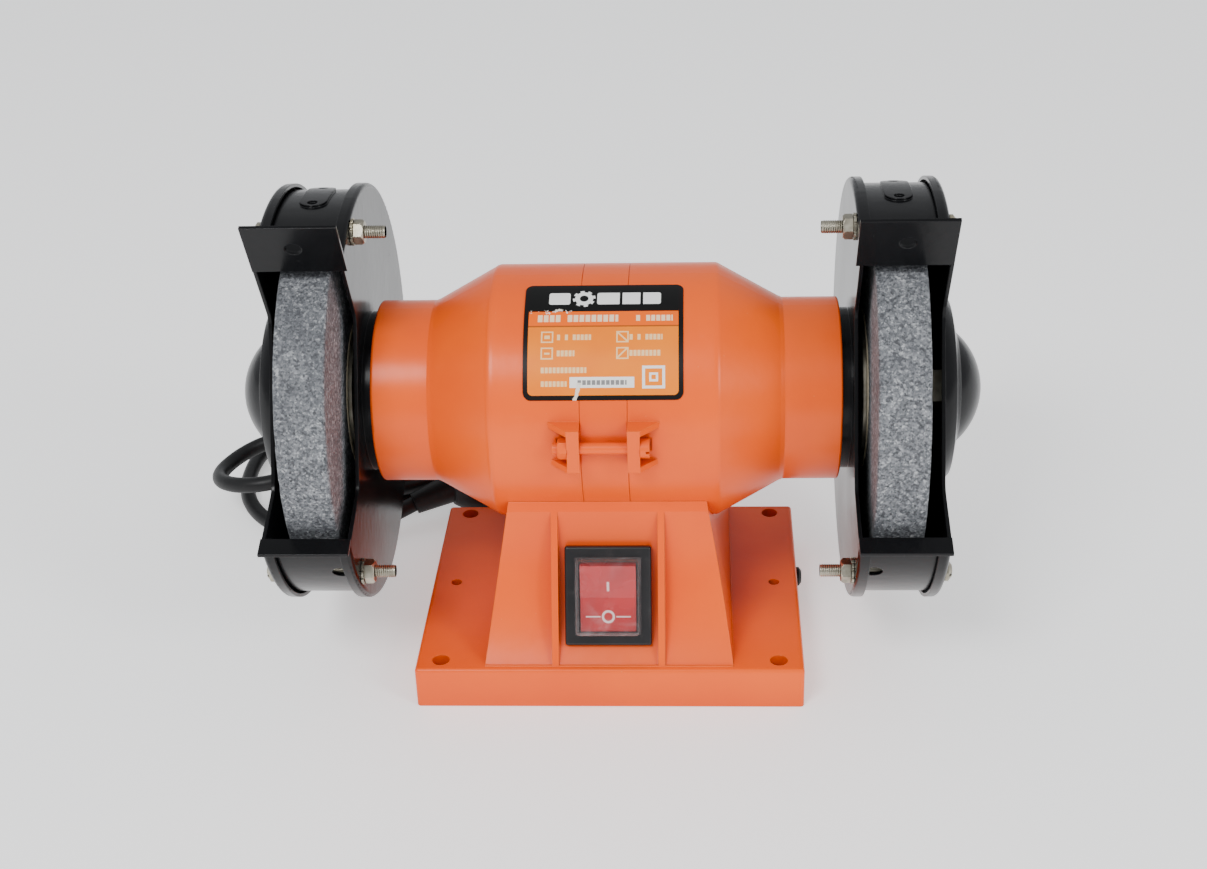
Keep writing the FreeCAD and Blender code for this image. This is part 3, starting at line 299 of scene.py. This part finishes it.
def wound_copper():
    finish, place = start_finish("wound_copper")
    strand_count = 190.0
    _, across, up = place.axes()
    round_shaft = place.math("ARCTAN2", up - SHAFT.z * MM, across - SHAFT.y * MM)
    strands = place.math("SINE", round_shaft * strand_count) * 0.5 + 0.5
    tone = place.grain(80.0, 4.0)
    body = tone.ease(0.3, 0.7).between((0.42, 0.13, 0.04), (0.62, 0.24, 0.09))
    body = (strands * 0.4).between(body, (0.16, 0.04, 0.015))
    end_finish(place, strands, 0.0002, Base_Color=body, Roughness=0.3 + tone * 0.12, Metallic=0.75,
               Coat_Weight=0.4)
    return finish


def ground_steel():
    finish, place = start_finish("ground_steel")
    tone = place.grain(70.0, 4.0)
    rings = place.grain(1100.0, 2.0, 0.5, stretch=(1, 0.04, 0.04))
    body = tone.ease(0.3, 0.7).between((0.50, 0.51, 0.53), (0.68, 0.69, 0.70))
    end_finish(place, rings, 0.00002, 0.0002, Base_Color=body, Roughness=0.16 + tone * 0.14, Metallic=1.0)
    return finish


GROUND = ground_steel()
dress(stacked_steel(), "stator_core", "rotor_core")
dress(wound_copper(), "stator_windings")
dress(GROUND, "rotor_shaft", "wave_washer")
for end in ENDS:
    dress(GROUND, end + "_bearing_outer", end + "_bearing_inner", end + "_bearing_balls")
CAGE = moulded("cage_plastic", (0.55, 0.50, 0.36), (0.68, 0.63, 0.48), 0.4)
dress(CAGE, "right_bearing_cage", "left_bearing_cage")


# Motor housing -------------------------------------------------------------------------
# Two die-cast halves and a middle band in the pedestal's orange enamel, drawn together
# by two long screws through their lugs. Everything was painted after assembly.
dress(ORANGE, "right_housing", "left_housing", "stator_band", "tie_screws", "tie_nuts")


# Rating label --------------------------------------------------------------------------
# Printed film stuck around the barrel: dark frame, black head with a plain gear mark,
# amber field with plain symbols and dashes for lines of print, scuffed at one corner.
def rating_label():
    """Its print is laid out in millimetres right of its middle and up from its lower edge."""
    finish, place = start_finish("rating_label")
    half_width, tall, corner_radius, border = 25.35, 42.0, 1.6, 1.5
    barrel_radius, lower_edge = 42.55, 16.93
    strip_low, strip_high, rule_low = 24.5, 29.9, 24.0
    right, back, up = place.axes()
    round_barrel = place.math("ARCTAN2", up - SHAFT.z * MM, SHAFT.y * MM - back)
    around = round_barrel * barrel_radius - lower_edge

    def least(a, b):
        return place.math("MINIMUM", a, b)

    def most(a, b):
        return place.math("MAXIMUM", a, b)

    def patch(left, low, across, high, corner=0.0):
        """1 inside a rectangle of the label, given its lower left corner and its size."""
        half_w, half_h = across / 2 - corner, high / 2 - corner
        out_x = most(abs(right - (left + across / 2)) - half_w, 0.0)
        out_y = most(abs(around - (low + high / 2)) - half_h, 0.0)
        far = place.math("SQRT", out_x * out_x + out_y * out_y)
        return far < max(corner, 0.01)

    def print_line(left, low, across, high, letter=1.25):
        """Dashes that stand for a line of print."""
        step = place.math("FRACT", (right - left) / letter)
        gap = place.node("ShaderNodeTexWhiteNoise", {"noise_dimensions": "1D"},
                         {"W": place.math("FLOOR", (right - left) / letter) + low * 7.3})
        return patch(left, low, across, high) * (step < 0.78) * (gap > 0.08)

    def ring(left, low, size, line):
        """1 on a square outline, given its lower left corner, its size and its line's width."""
        inside = size - 2 * line
        return patch(left, low, size, size) - patch(left + line, low + line, inside, inside)

    field = patch(border - half_width, border, 2 * (half_width - border), tall - 2 * border, corner_radius)
    head = around > strip_high
    strip = (around > strip_low) * (around < strip_high)
    rule = (around > rule_low) * (around < strip_low)
    tone = place.grain(60.0, 3.0)
    colour = tone.ease(0.3, 0.7).between((0.92, 0.200, 0.0), (0.96, 0.235, 0.0))
    colour = strip.between(colour, (0.94, 0.135, 0.0))
    colour = (rule * 0.8).between(colour, (0.25, 0.05, 0.01))

    pale = print_line(-14.6, 19.4, 10.8, 1.9) + print_line(8.4, 19.4, 10.4, 1.9)
    pale = pale + print_line(-14.6, 14.0, 5.6, 1.9) + print_line(8.4, 14.0, 11.6, 1.9)
    pale = pale + print_line(-19.6, 8.6, 14.4, 1.8) + print_line(-19.6, 4.3, 8.2, 1.7)
    for left, low in ((-19.7, 18.5), (4.2, 18.5), (-19.7, 13.0), (4.2, 13.0)):
        pale = pale + ring(left, low, 3.9, 0.45)
    pale = pale + patch(-18.6, 19.8, 1.7, 1.2) + patch(-18.6, 14.6, 1.7, 0.6)
    pale = pale + (abs(right - 6.1 + around - 20.5) < 0.35) * patch(4.6, 18.9, 3.1, 3.1)
    pale = pale + (abs(right - 6.1 - around + 15.0) < 0.35) * patch(4.6, 13.4, 3.1, 3.1)
    colour = least(pale * 0.8, 0.8).between(colour, (0.98, 0.72, 0.36))
    strip_print = print_line(-20.9, 25.9, 25.6, 2.6, 1.9) + print_line(10.4, 26.1, 11.6, 2.2, 1.6)
    colour = least(strip_print * 0.85, 0.85).between(colour, (0.98, 0.80, 0.52))
    white = patch(-10.5, 3.9, 20.4, 3.4) + ring(12.4, 3.6, 7.2, 0.9) + ring(14.6, 5.8, 2.8, 0.7)
    colour = least(white, 1.0).between(colour, (0.90, 0.88, 0.84))
    colour = (print_line(-8.0, 4.8, 15.5, 1.5, 1.5) * 0.8).between(colour, (0.05, 0.05, 0.06))

    gear_x, gear_y = right + 6.4, around - 35.4
    spread = place.math("SQRT", gear_x * gear_x + gear_y * gear_y)
    teeth = place.math("SINE", place.math("ARCTAN2", gear_y, gear_x) * 8.0) > 0.0
    gear = (spread < 2.9 + teeth * 0.7) * (spread > 1.4)
    bars = patch(-17.6, 32.8, 6.8, 5.2, 0.8) + patch(-2.2, 32.8, 20.4, 5.2, 0.8)
    bars = bars - patch(5.0, 32.5, 0.9, 6.0) - patch(11.6, 32.5, 0.9, 6.0)
    mark = least(gear + most(bars, 0.0), 1.0)
    colour = head.between(colour, mark.between((0.004, 0.004, 0.004), (0.86, 0.86, 0.84)))
    colour = field.between((0.006, 0.004, 0.004), colour)

    flake = place.grain(310.0, 4.0, 0.7)
    near_head = most(1.0 - (abs(around - 30.2) / 2.6), 0.0) * (right < -7.0)
    near_foot = most(1.0 - (abs(right + 8.6 - (around - 1.5) * 0.3) / 1.3), 0.0) * (around < 5.5)
    scuff = (flake + near_head * 0.24 + near_foot * 0.5) > 0.80
    colour = (scuff * 0.9).between(colour, (0.84, 0.78, 0.68))
    rough = 0.30 + tone * 0.1 + scuff * 0.35
    end_finish(place, scuff * -1.0 + tone * 0.2, 0.00005, Base_Color=colour, Roughness=rough,
               Specular_IOR_Level=0.18)
    return finish


dress(rating_label(), "nameplate")


# Flanges, blotters and wheel nuts ------------------------------------------------------
# Pressed zinc-plated washers and a hexagon nut clamp each wheel between two rings of
# buff card, so that the steel never bears on the stone.
def blotter_card():
    finish, place = start_finish("blotter_card")
    fibres = place.grain(850.0, 5.0, 0.7, stretch=(1, 1, 0.3))
    body = fibres.ease(0.3, 0.7).between((0.42, 0.36, 0.24), (0.62, 0.55, 0.40))
    end_finish(place, fibres, 0.00006, Base_Color=body, Roughness=0.8 + fibres * 0.12)
    return finish


CARD = blotter_card()
for end in ENDS:
    dress(ZINC, end + "_inner_flange", end + "_outer_flange", end + "_wheel_nut")
    dress(CARD, end + "_blotters")


# Grinding wheels -----------------------------------------------------------------------
# Vitrified grey aluminium oxide, 125 mm across: coarse sparkling grains with open pores,
# whose shade is painted near black, a little crumbled at the corners and darkened in
# patches where metal was ground.
def lathe(name, profile, steps):
    """Closed ring turned about the shaft's axis from a closed loop of (x, radius) points."""
    points, faces = [], []
    count = len(profile)
    for turn in range(steps):
        angle = 2 * math.pi * turn / steps
        for x, radius in profile:
            points.append((x, SHAFT.y + radius * math.cos(angle), SHAFT.z + radius * math.sin(angle)))
    for turn in range(steps):
        here, ahead = turn * count, (turn + 1) % steps * count
        for spot in range(count):
            following = (spot + 1) % count
            faces.append((here + spot, here + following, ahead + following, ahead + spot))
    mesh = bpy.data.meshes.new(name)
    mesh.from_pydata(points, [], faces)
    mesh.validate()
    for face in mesh.polygons:
        face.use_smooth = True
    made = bpy.data.objects.new(name, mesh)
    bpy.context.scene.collection.objects.link(made)
    return made


def abrasive():
    finish, place = start_finish("grey_abrasive")
    grit_tone = place.node("ShaderNodeSeparateXYZ", {}, {0: place.cells(1700.0, out=1)})
    coarse_tone = place.node("ShaderNodeSeparateXYZ", {}, {0: place.cells(900.0, out=1)})
    mixed = grit_tone * 0.6 + coarse_tone * 0.4
    ramp = [(0.0, (0.030, 0.032, 0.036)), (0.28, (0.085, 0.090, 0.100)), (0.52, (0.150, 0.158, 0.170)),
            (0.76, (0.235, 0.245, 0.260)), (1.0, (0.46, 0.47, 0.48))]
    body = place.node("ShaderNodeValToRGB", {"stops": ramp}, {"Fac": mixed})
    patches = place.grain(45.0, 4.0, 0.6).ease(0.50, 0.68)
    body = (patches * 0.42).between(body, (0.060, 0.064, 0.075))
    pores_painted_dark = place.cells(1300.0) < 0.14
    # painted shade: the shade inside each pore is painted near black into the colour
    body = (pores_painted_dark * 0.7).between(body, (0.01, 0.01, 0.012))
    height = mixed * 0.6 + place.cells(1700.0) * 0.7 - pores_painted_dark * 0.6
    end_finish(place, height, 0.00022, Base_Color=body, Roughness=0.62 + grit_tone * 0.3,
               Specular_IOR_Level=0.45)
    return finish


def grinding_wheel(end, finish):
    low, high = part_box(end + "_wheel")
    radius = (high.z - low.z) / 2
    bore, corner, skin = 0.0064, 0.0005, 0.00008
    chipped, chip_depth = 0.0009, 0.0016
    hub_face = 0.0255          # under the flange and blotter the faces stay flat
    rim_steps, face_steps, turn_steps = 20, 22, 420
    across = [low.x + corner + (high.x - low.x - 2 * corner) * step / rim_steps
              for step in range(rim_steps + 1)]
    out = [hub_face + (radius - corner - hub_face) * step / face_steps for step in range(face_steps + 1)]
    profile = [(low.x, bore)] + [(low.x, reach) for reach in out]
    profile += [(x, radius) for x in across]
    profile += [(high.x, reach) for reach in reversed(out)] + [(high.x, bore)]
    wheel = lathe(end + "_grinding_wheel", profile, turn_steps)
    for point in wheel.data.vertices:
        away = Vector((0, point.co.y - SHAFT.y, point.co.z - SHAFT.z))
        reach = away.length
        if reach < hub_face + 0.001:
            continue
        outward = away.normalized()
        rough = noise.noise(point.co * 900.0) + 0.6 * noise.noise(point.co * 1900.0)
        from_face = min(abs(point.co.x - low.x), abs(point.co.x - high.x))
        chip = 0.0
        if reach > radius - chipped and from_face < chipped:
            chip = max(0.0, noise.noise(point.co * 260.0) - 0.18) * chip_depth
        point.co -= outward * (max(0.0, skin * (1.2 + rough)) + chip)
    wheel.data.materials.append(finish)
    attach(wheel, "rotor")
    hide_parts(end + "_wheel")


GRIT = abrasive()
for end in ENDS:
    grinding_wheel(end, GRIT)


# Wheel guards --------------------------------------------------------------------------
# Each guard is a pressed plate on the motor side, a rolled band with its end bent out as
# a tab, and a pressed cover with a dome over the shaft; all dipped in black gloss enamel.
def black_enamel():
    finish, place = start_finish("black_enamel")
    cloud = place.grain(28.0, 4.0)
    dust = place.grain(330.0, 6.0, 0.7).ease(0.60, 0.80) * place.grain(30.0).ease(0.42, 0.7)
    marks = place.grain(120.0, 5.0, 0.7, stretch=(6, 1, 1)).ease(0.66, 0.78)
    edges = worn_and_highlit_edges(place, 0.0004)
    body = cloud.ease(0.3, 0.7).between((0.0022, 0.0023, 0.0028), (0.0045, 0.0046, 0.0054))
    body = (dust * 0.05 + marks * 0.02).between(body, (0.30, 0.30, 0.31))
    # lighter grey along the edges: worn paint there, and a painted highlight
    body = (edges * (0.03 + place.grain(260.0) * 0.1)).between(body, (0.22, 0.22, 0.23))
    rough = 0.17 + cloud * 0.10 + dust * 0.25 + marks * 0.2
    peel = place.grain(260.0, 2.0, 0.4) + place.grain(70.0, 2.0, 0.4)
    end_finish(place, peel, 0.00005, 0.0005, Base_Color=body, Roughness=rough, Specular_IOR_Level=0.18)
    return finish


BLACK = black_enamel()
for end in ENDS:
    dress(BLACK, end + "_inner_guard", end + "_guard_band", end + "_outer_cover")
dress(ZINC, "guard_screws")


# Cover screws --------------------------------------------------------------------------
# Three long M4 screws go right through each guard; toothed washers and hexagon nuts hold
# them on the motor side, where a length of bare thread stands out past each nut.
dress(ZINC, "cover_bolts", "cover_nuts", "lock_washers")


def screw_thread(name, start, length, outward):
    """Ridged sleeve along X around a screw's shank: one helical ridge per pitch."""
    pitch, root, crest = 0.0007, 0.00188, 0.00214
    per_pitch, sides = 6, 20
    rows = int(length / pitch * per_pitch)
    points, faces = [], []
    for row in range(rows + 1):
        along = length * row / rows
        ends = min(1.0, along / pitch, (length - along) / pitch)
        for side in range(sides):
            angle = 2 * math.pi * side / sides
            phase = (along / pitch + side / sides) % 1.0
            ridge = 1.0 - abs(2.0 * phase - 1.0)
            radius = root + (crest - root) * ridge * max(ends, 0.0)
            points.append((start.x + outward * along, start.y + radius * math.cos(angle),
                           start.z + radius * math.sin(angle)))
    for row in range(rows):
        for side in range(sides):
            following = (side + 1) % sides
            a, b = row * sides, (row + 1) * sides
            faces.append((a + side, a + following, b + following, b + side))
    faces.append(tuple(range(sides)))
    faces.append(tuple(rows * sides + side for side in range(sides)))
    mesh = bpy.data.meshes.new(name)
    mesh.from_pydata(points, [], faces)
    made = bpy.data.objects.new(name, mesh)
    bpy.context.scene.collection.objects.link(made)
    made.data.materials.append(ZINC)
    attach(made, "frame")


SCREW_ANGLES = (78.0, -37.0, 195.5)
SCREW_REACH = 0.0651
THREAD_START, THREAD_LENGTH = 0.0686, 0.0108
for side, end in ((1, "right"), (-1, "left")):
    for count, degrees in enumerate(SCREW_ANGLES):
        turn = math.radians(degrees)
        spot = Vector((side * THREAD_START, SHAFT.y - SCREW_REACH * math.cos(turn),
                       SHAFT.z + SCREW_REACH * math.sin(turn)))
        screw_thread("%s_cover_screw_thread_%d" % (end, count + 1), spot, THREAD_LENGTH, side)


# Rocker switch -------------------------------------------------------------------------
# A black moulded case with a clear red rocker printed with the usual line and ring, under a
# soft clear dust cap that has gone hazy with handling.
CASE = moulded("switch_case", (0.008, 0.008, 0.009), (0.016, 0.016, 0.017), 0.28,
               grain_scale=600.0, coat=0.2, edge=0.0005)
dress(CASE, "switch_housing")
dress(GROUND, "switch_terminals")
PANEL_RISE, PANEL_RUN = 0.0528, 0.0242
PANEL_TILT = math.atan2(PANEL_RISE, PANEL_RUN)
UP_PANEL = (0.0, math.cos(PANEL_TILT), math.sin(PANEL_TILT))
SWITCH_MIDDLE = Vector((0.0, -0.03773, 0.03475))


def panel_height(place):
    """Millimetres up the sloping panel from the switch's middle."""
    offset = SWITCH_MIDDLE.dot(Vector(UP_PANEL))
    along = place.node("ShaderNodeVectorMath", {"operation": "DOT_PRODUCT"}, {0: place, 1: UP_PANEL}, out=1)
    return (along - offset) * MM


def rocker_red():
    finish, place = start_finish("rocker_red")
    right, _, _ = place.axes()
    up = panel_height(place)
    tone = place.grain(90.0, 4.0)
    body = tone.ease(0.3, 0.7).between((0.42, 0.003, 0.006), (0.56, 0.006, 0.010))
    line_mark = (abs(right) < 0.4) * (abs(up - 3.2) < 1.6)
    ring_y = up + 7.0
    spread = place.math("SQRT", right * right + ring_y * ring_y)
    ring_mark = (abs(spread - 1.8) < 0.38) + (abs(ring_y) < 0.22) * (abs(abs(right) - 5.0) < 2.4)
    print_mark = place.math("MINIMUM", line_mark + ring_mark, 1.0)
    body = (print_mark * 0.85).between(body, (0.88, 0.80, 0.78))
    end_finish(place, tone, 0.00004, 0.0004, Base_Color=body, Roughness=0.22 + tone * 0.1,
               Coat_Weight=0.5, Coat_Roughness=0.1)
    return finish


def dust_cap():
    finish, place = start_finish("dust_cap")
    haze = place.grain(130.0, 6.0, 0.7).ease(0.50, 0.78)
    streak = place.grain(60.0, 5.0, 0.7, stretch=(1, 4, 4)).ease(0.56, 0.74)
    facing = place.node("ShaderNodeLayerWeight", {}, {"Blend": 0.35}, out=1)
    share = 0.02 + haze * 0.09 + streak * 0.06 + facing * 0.20
    skin = place.node("ShaderNodeBsdfPrincipled", {}, {
        "Base Color": (0.86, 0.80, 0.80, 1.0), "Roughness": 0.16, "Coat Weight": 0.6,
        "Specular IOR Level": 0.8})
    clear = place.node("ShaderNodeBsdfTransparent", {}, {"Color": (0.97, 0.95, 0.95, 1.0)})
    mixed = place.node("ShaderNodeMixShader", {}, {0: share, 1: clear, 2: skin})
    output = place.tree.nodes.new("ShaderNodeOutputMaterial")
    place.tree.links.new(mixed.socket, output.inputs["Surface"])
    return finish


dress(rocker_red(), "switch_rocker")
dress(dust_cap(), "switch_dust_cover")


# Mains lead ----------------------------------------------------------------------------
# Two-core black rubber lead, 6 mm thick, leaving the pedestal's back through a grooved
# sleeve. It crosses the floor, hooks round at the left and ends in a tied coil and a plug.
dress(RUBBER, "strain_relief", "mains_plug")
dress(GROUND, "plug_pins")
CORD_DIAMETER = 0.006
LEAD_ROUTE = [
    (0, 0.082, 0.024), (-0.001, 0.1, 0.02), (-0.008, 0.118, 0.01), (-0.023, 0.132, 0.005),
    (-0.041, 0.138, 0.009), (-0.058, 0.136, 0.021), (-0.077, 0.124, 0.0246), (-0.093, 0.1085, 0.0246),
    (-0.106, 0.0915, 0.0242), (-0.116, 0.0745, 0.0235), (-0.123, 0.064, 0.0228), (-0.1326, 0.058, 0.0218),
    (-0.1434, 0.058, 0.0204), (-0.1526, 0.0634, 0.0182), (-0.158, 0.0726, 0.0156), (-0.158, 0.0834, 0.014),
    (-0.1526, 0.0926, 0.015), (-0.1434, 0.098, 0.0175), (-0.133, 0.098, 0.0185), (-0.1242, 0.092, 0.018),
]
TAIL_ROUTE = [
    (-0.124, 0.148, 0.0032), (-0.142, 0.136, 0.0031), (-0.151, 0.116, 0.0031), (-0.1525, 0.094, 0.0031),
    (-0.148, 0.074, 0.0031), (-0.136, 0.058, 0.0031), (-0.1185, 0.049, 0.0031), (-0.0985, 0.0503, 0.0045),
    (-0.08, 0.0635, 0.009),
]
COIL_X, COIL_Y = -0.100, 0.112
COIL_START_ANGLE, COIL_START_RADIUS, COIL_START_HEIGHT = 237.0, 0.0336, 0.016
# Each stretch of the coil: degrees turned, radius and height where it ends.
COIL_STRETCHES = [
    (258, 0.0396, 0.0155), (60, 0.0412, 0.0093), (972, 0.0246, 0.0093), (60, 0.0242, 0.0031),
    (1028.9, 0.0410, 0.0031),
]


def coil_points():
    """Turns of the coil, beside and on each other, from the lead's end to the tail's start."""
    points = []
    angle, radius, height = COIL_START_ANGLE, COIL_START_RADIUS, COIL_START_HEIGHT
    most_degrees_apart = 24
    cut_in = 0.978             # the smooth line runs this much inside its control points
    for turned, end_radius, end_height in COIL_STRETCHES:
        steps = math.ceil(turned / most_degrees_apart)
        for step in range(steps):
            share = step / steps
            eased = share * share * (3 - 2 * share) if turned < 100 else share
            reach = (radius + (end_radius - radius) * eased) / cut_in
            turn = math.radians(angle + turned * share)
            points.append((COIL_X + reach * math.cos(turn), COIL_Y + reach * math.sin(turn),
                           height + (end_height - height) * eased))
        angle, radius, height = angle + turned, end_radius, end_height
    turn = math.radians(angle)
    points.append((COIL_X + radius * math.cos(turn), COIL_Y + radius * math.sin(turn), height))
    return points


def mains_lead():
    route = LEAD_ROUTE + coil_points() + TAIL_ROUTE
    curve = bpy.data.curves.new("mains_lead", "CURVE")
    curve.dimensions = "3D"
    line = curve.splines.new("NURBS")
    line.points.add(len(route) - 1)
    for point, (x, y, z) in zip(line.points, route):
        point.co = (x, y, z, 1.0)
    line.order_u = 3
    line.use_endpoint_u = True
    line.resolution_u = 8
    curve.bevel_depth = CORD_DIAMETER / 2
    curve.bevel_resolution = 6
    curve.use_fill_caps = True
    lead = bpy.data.objects.new("mains_lead", curve)
    bpy.context.scene.collection.objects.link(lead)
    lead.data.materials.append(RUBBER)
    return lead


LEAD = mains_lead()
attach(LEAD, "frame")
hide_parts("power_cord_lead", "power_cord_coil", "power_cord_tail")


# Coil's tie ----------------------------------------------------------------------------
# A short strap of black woven hook-and-loop tape. It is wrapped once around the turns of
# the coil and pressed onto itself.
def woven_tape():
    finish, place = start_finish("woven_tape")
    weave = place.cells(1500.0)
    tone = place.grain(140.0, 4.0)
    body = tone.ease(0.3, 0.7).between((0.012, 0.012, 0.013), (0.03, 0.03, 0.032))
    body = (weave * 0.3).between(body, (0.07, 0.07, 0.07))
    end_finish(place, weave, 0.00018, Base_Color=body, Roughness=0.75 + tone * 0.15)
    return finish


dress(woven_tape(), "cord_tie")


# Studio: floor, soft lights and camera -------------------------------------------------
# The grinder stands on a pale matt table, which reflects light up onto it. Two soft boxes
# in front and a pale sky light it evenly.
def studio_floor():
    reach, just_under = 4.0, -0.0002
    points = [(-reach, -reach, 0), (reach, -reach, 0), (reach, reach, 0), (-reach, reach, 0)]
    mesh = bpy.data.meshes.new("floor")
    mesh.from_pydata(points, [], [(0, 1, 2, 3)])
    floor = bpy.data.objects.new("floor", mesh)
    floor.location.z = just_under
    bpy.context.scene.collection.objects.link(floor)
    finish, place = start_finish("pale_table")
    tone = place.grain(3.0, 2.0)
    body = tone.between((0.88, 0.88, 0.88), (0.90, 0.90, 0.90))
    end_finish(place, Base_Color=body, Roughness=0.7, Emission_Color=(1.0, 1.0, 1.0), Emission_Strength=0.6)
    floor.data.materials.append(finish)


def soft_box(name, spot, aim, width, depth, watts):
    lamp = bpy.data.lights.new(name, "AREA")
    lamp.shape = "RECTANGLE"
    lamp.size = width
    lamp.size_y = depth
    lamp.energy = watts
    holder = bpy.data.objects.new(name, lamp)
    holder.location = spot
    holder.rotation_mode = "QUATERNION"
    holder.rotation_quaternion = (Vector(aim) - Vector(spot)).to_track_quat("-Z", "Y")
    bpy.context.scene.collection.objects.link(holder)


studio_floor()
soft_box("key_light", (-0.45, -0.85, 1.1), (0.0, 0.0, 0.07), 0.5, 0.4, 12.0)
soft_box("right_light", (0.95, -0.75, 0.75), (0.0, 0.0, 0.08), 0.3, 0.5, 6.5)
sky = bpy.data.worlds.new("pale_sky")
sky.use_nodes = True
backdrop = sky.node_tree.nodes["Background"]
backdrop.inputs["Color"].default_value = (0.95, 0.97, 1.0, 1.0)
backdrop.inputs["Strength"].default_value = 0.68
bpy.context.scene.world = sky

# The camera stands in front, a little to the right, and looks down by 29 degrees.
eye = Vector((0.031243, -0.545670, 0.377145))
yaw, down, roll = math.radians(-3.4963), math.radians(28.9861), math.radians(-1.9973)
ahead = Vector((math.sin(yaw) * math.cos(down), math.cos(yaw) * math.cos(down), -math.sin(down)))
level = Vector((math.cos(yaw), -math.sin(yaw), 0.0))
above = level.cross(ahead)
camera_x = level * math.cos(roll) + above * math.sin(roll)
camera_y = -level * math.sin(roll) + above * math.cos(roll)
lens = bpy.data.cameras.new("camera")
lens.sensor_fit = "HORIZONTAL"
lens.sensor_width = 36.0
lens.lens = 55.27
camera = bpy.data.objects.new("camera", lens)
turned = Matrix((camera_x, camera_y, -ahead)).transposed().to_4x4()
camera.matrix_world = Matrix.Translation(eye) @ turned
bpy.context.scene.collection.objects.link(camera)
bpy.context.scene.camera = camera
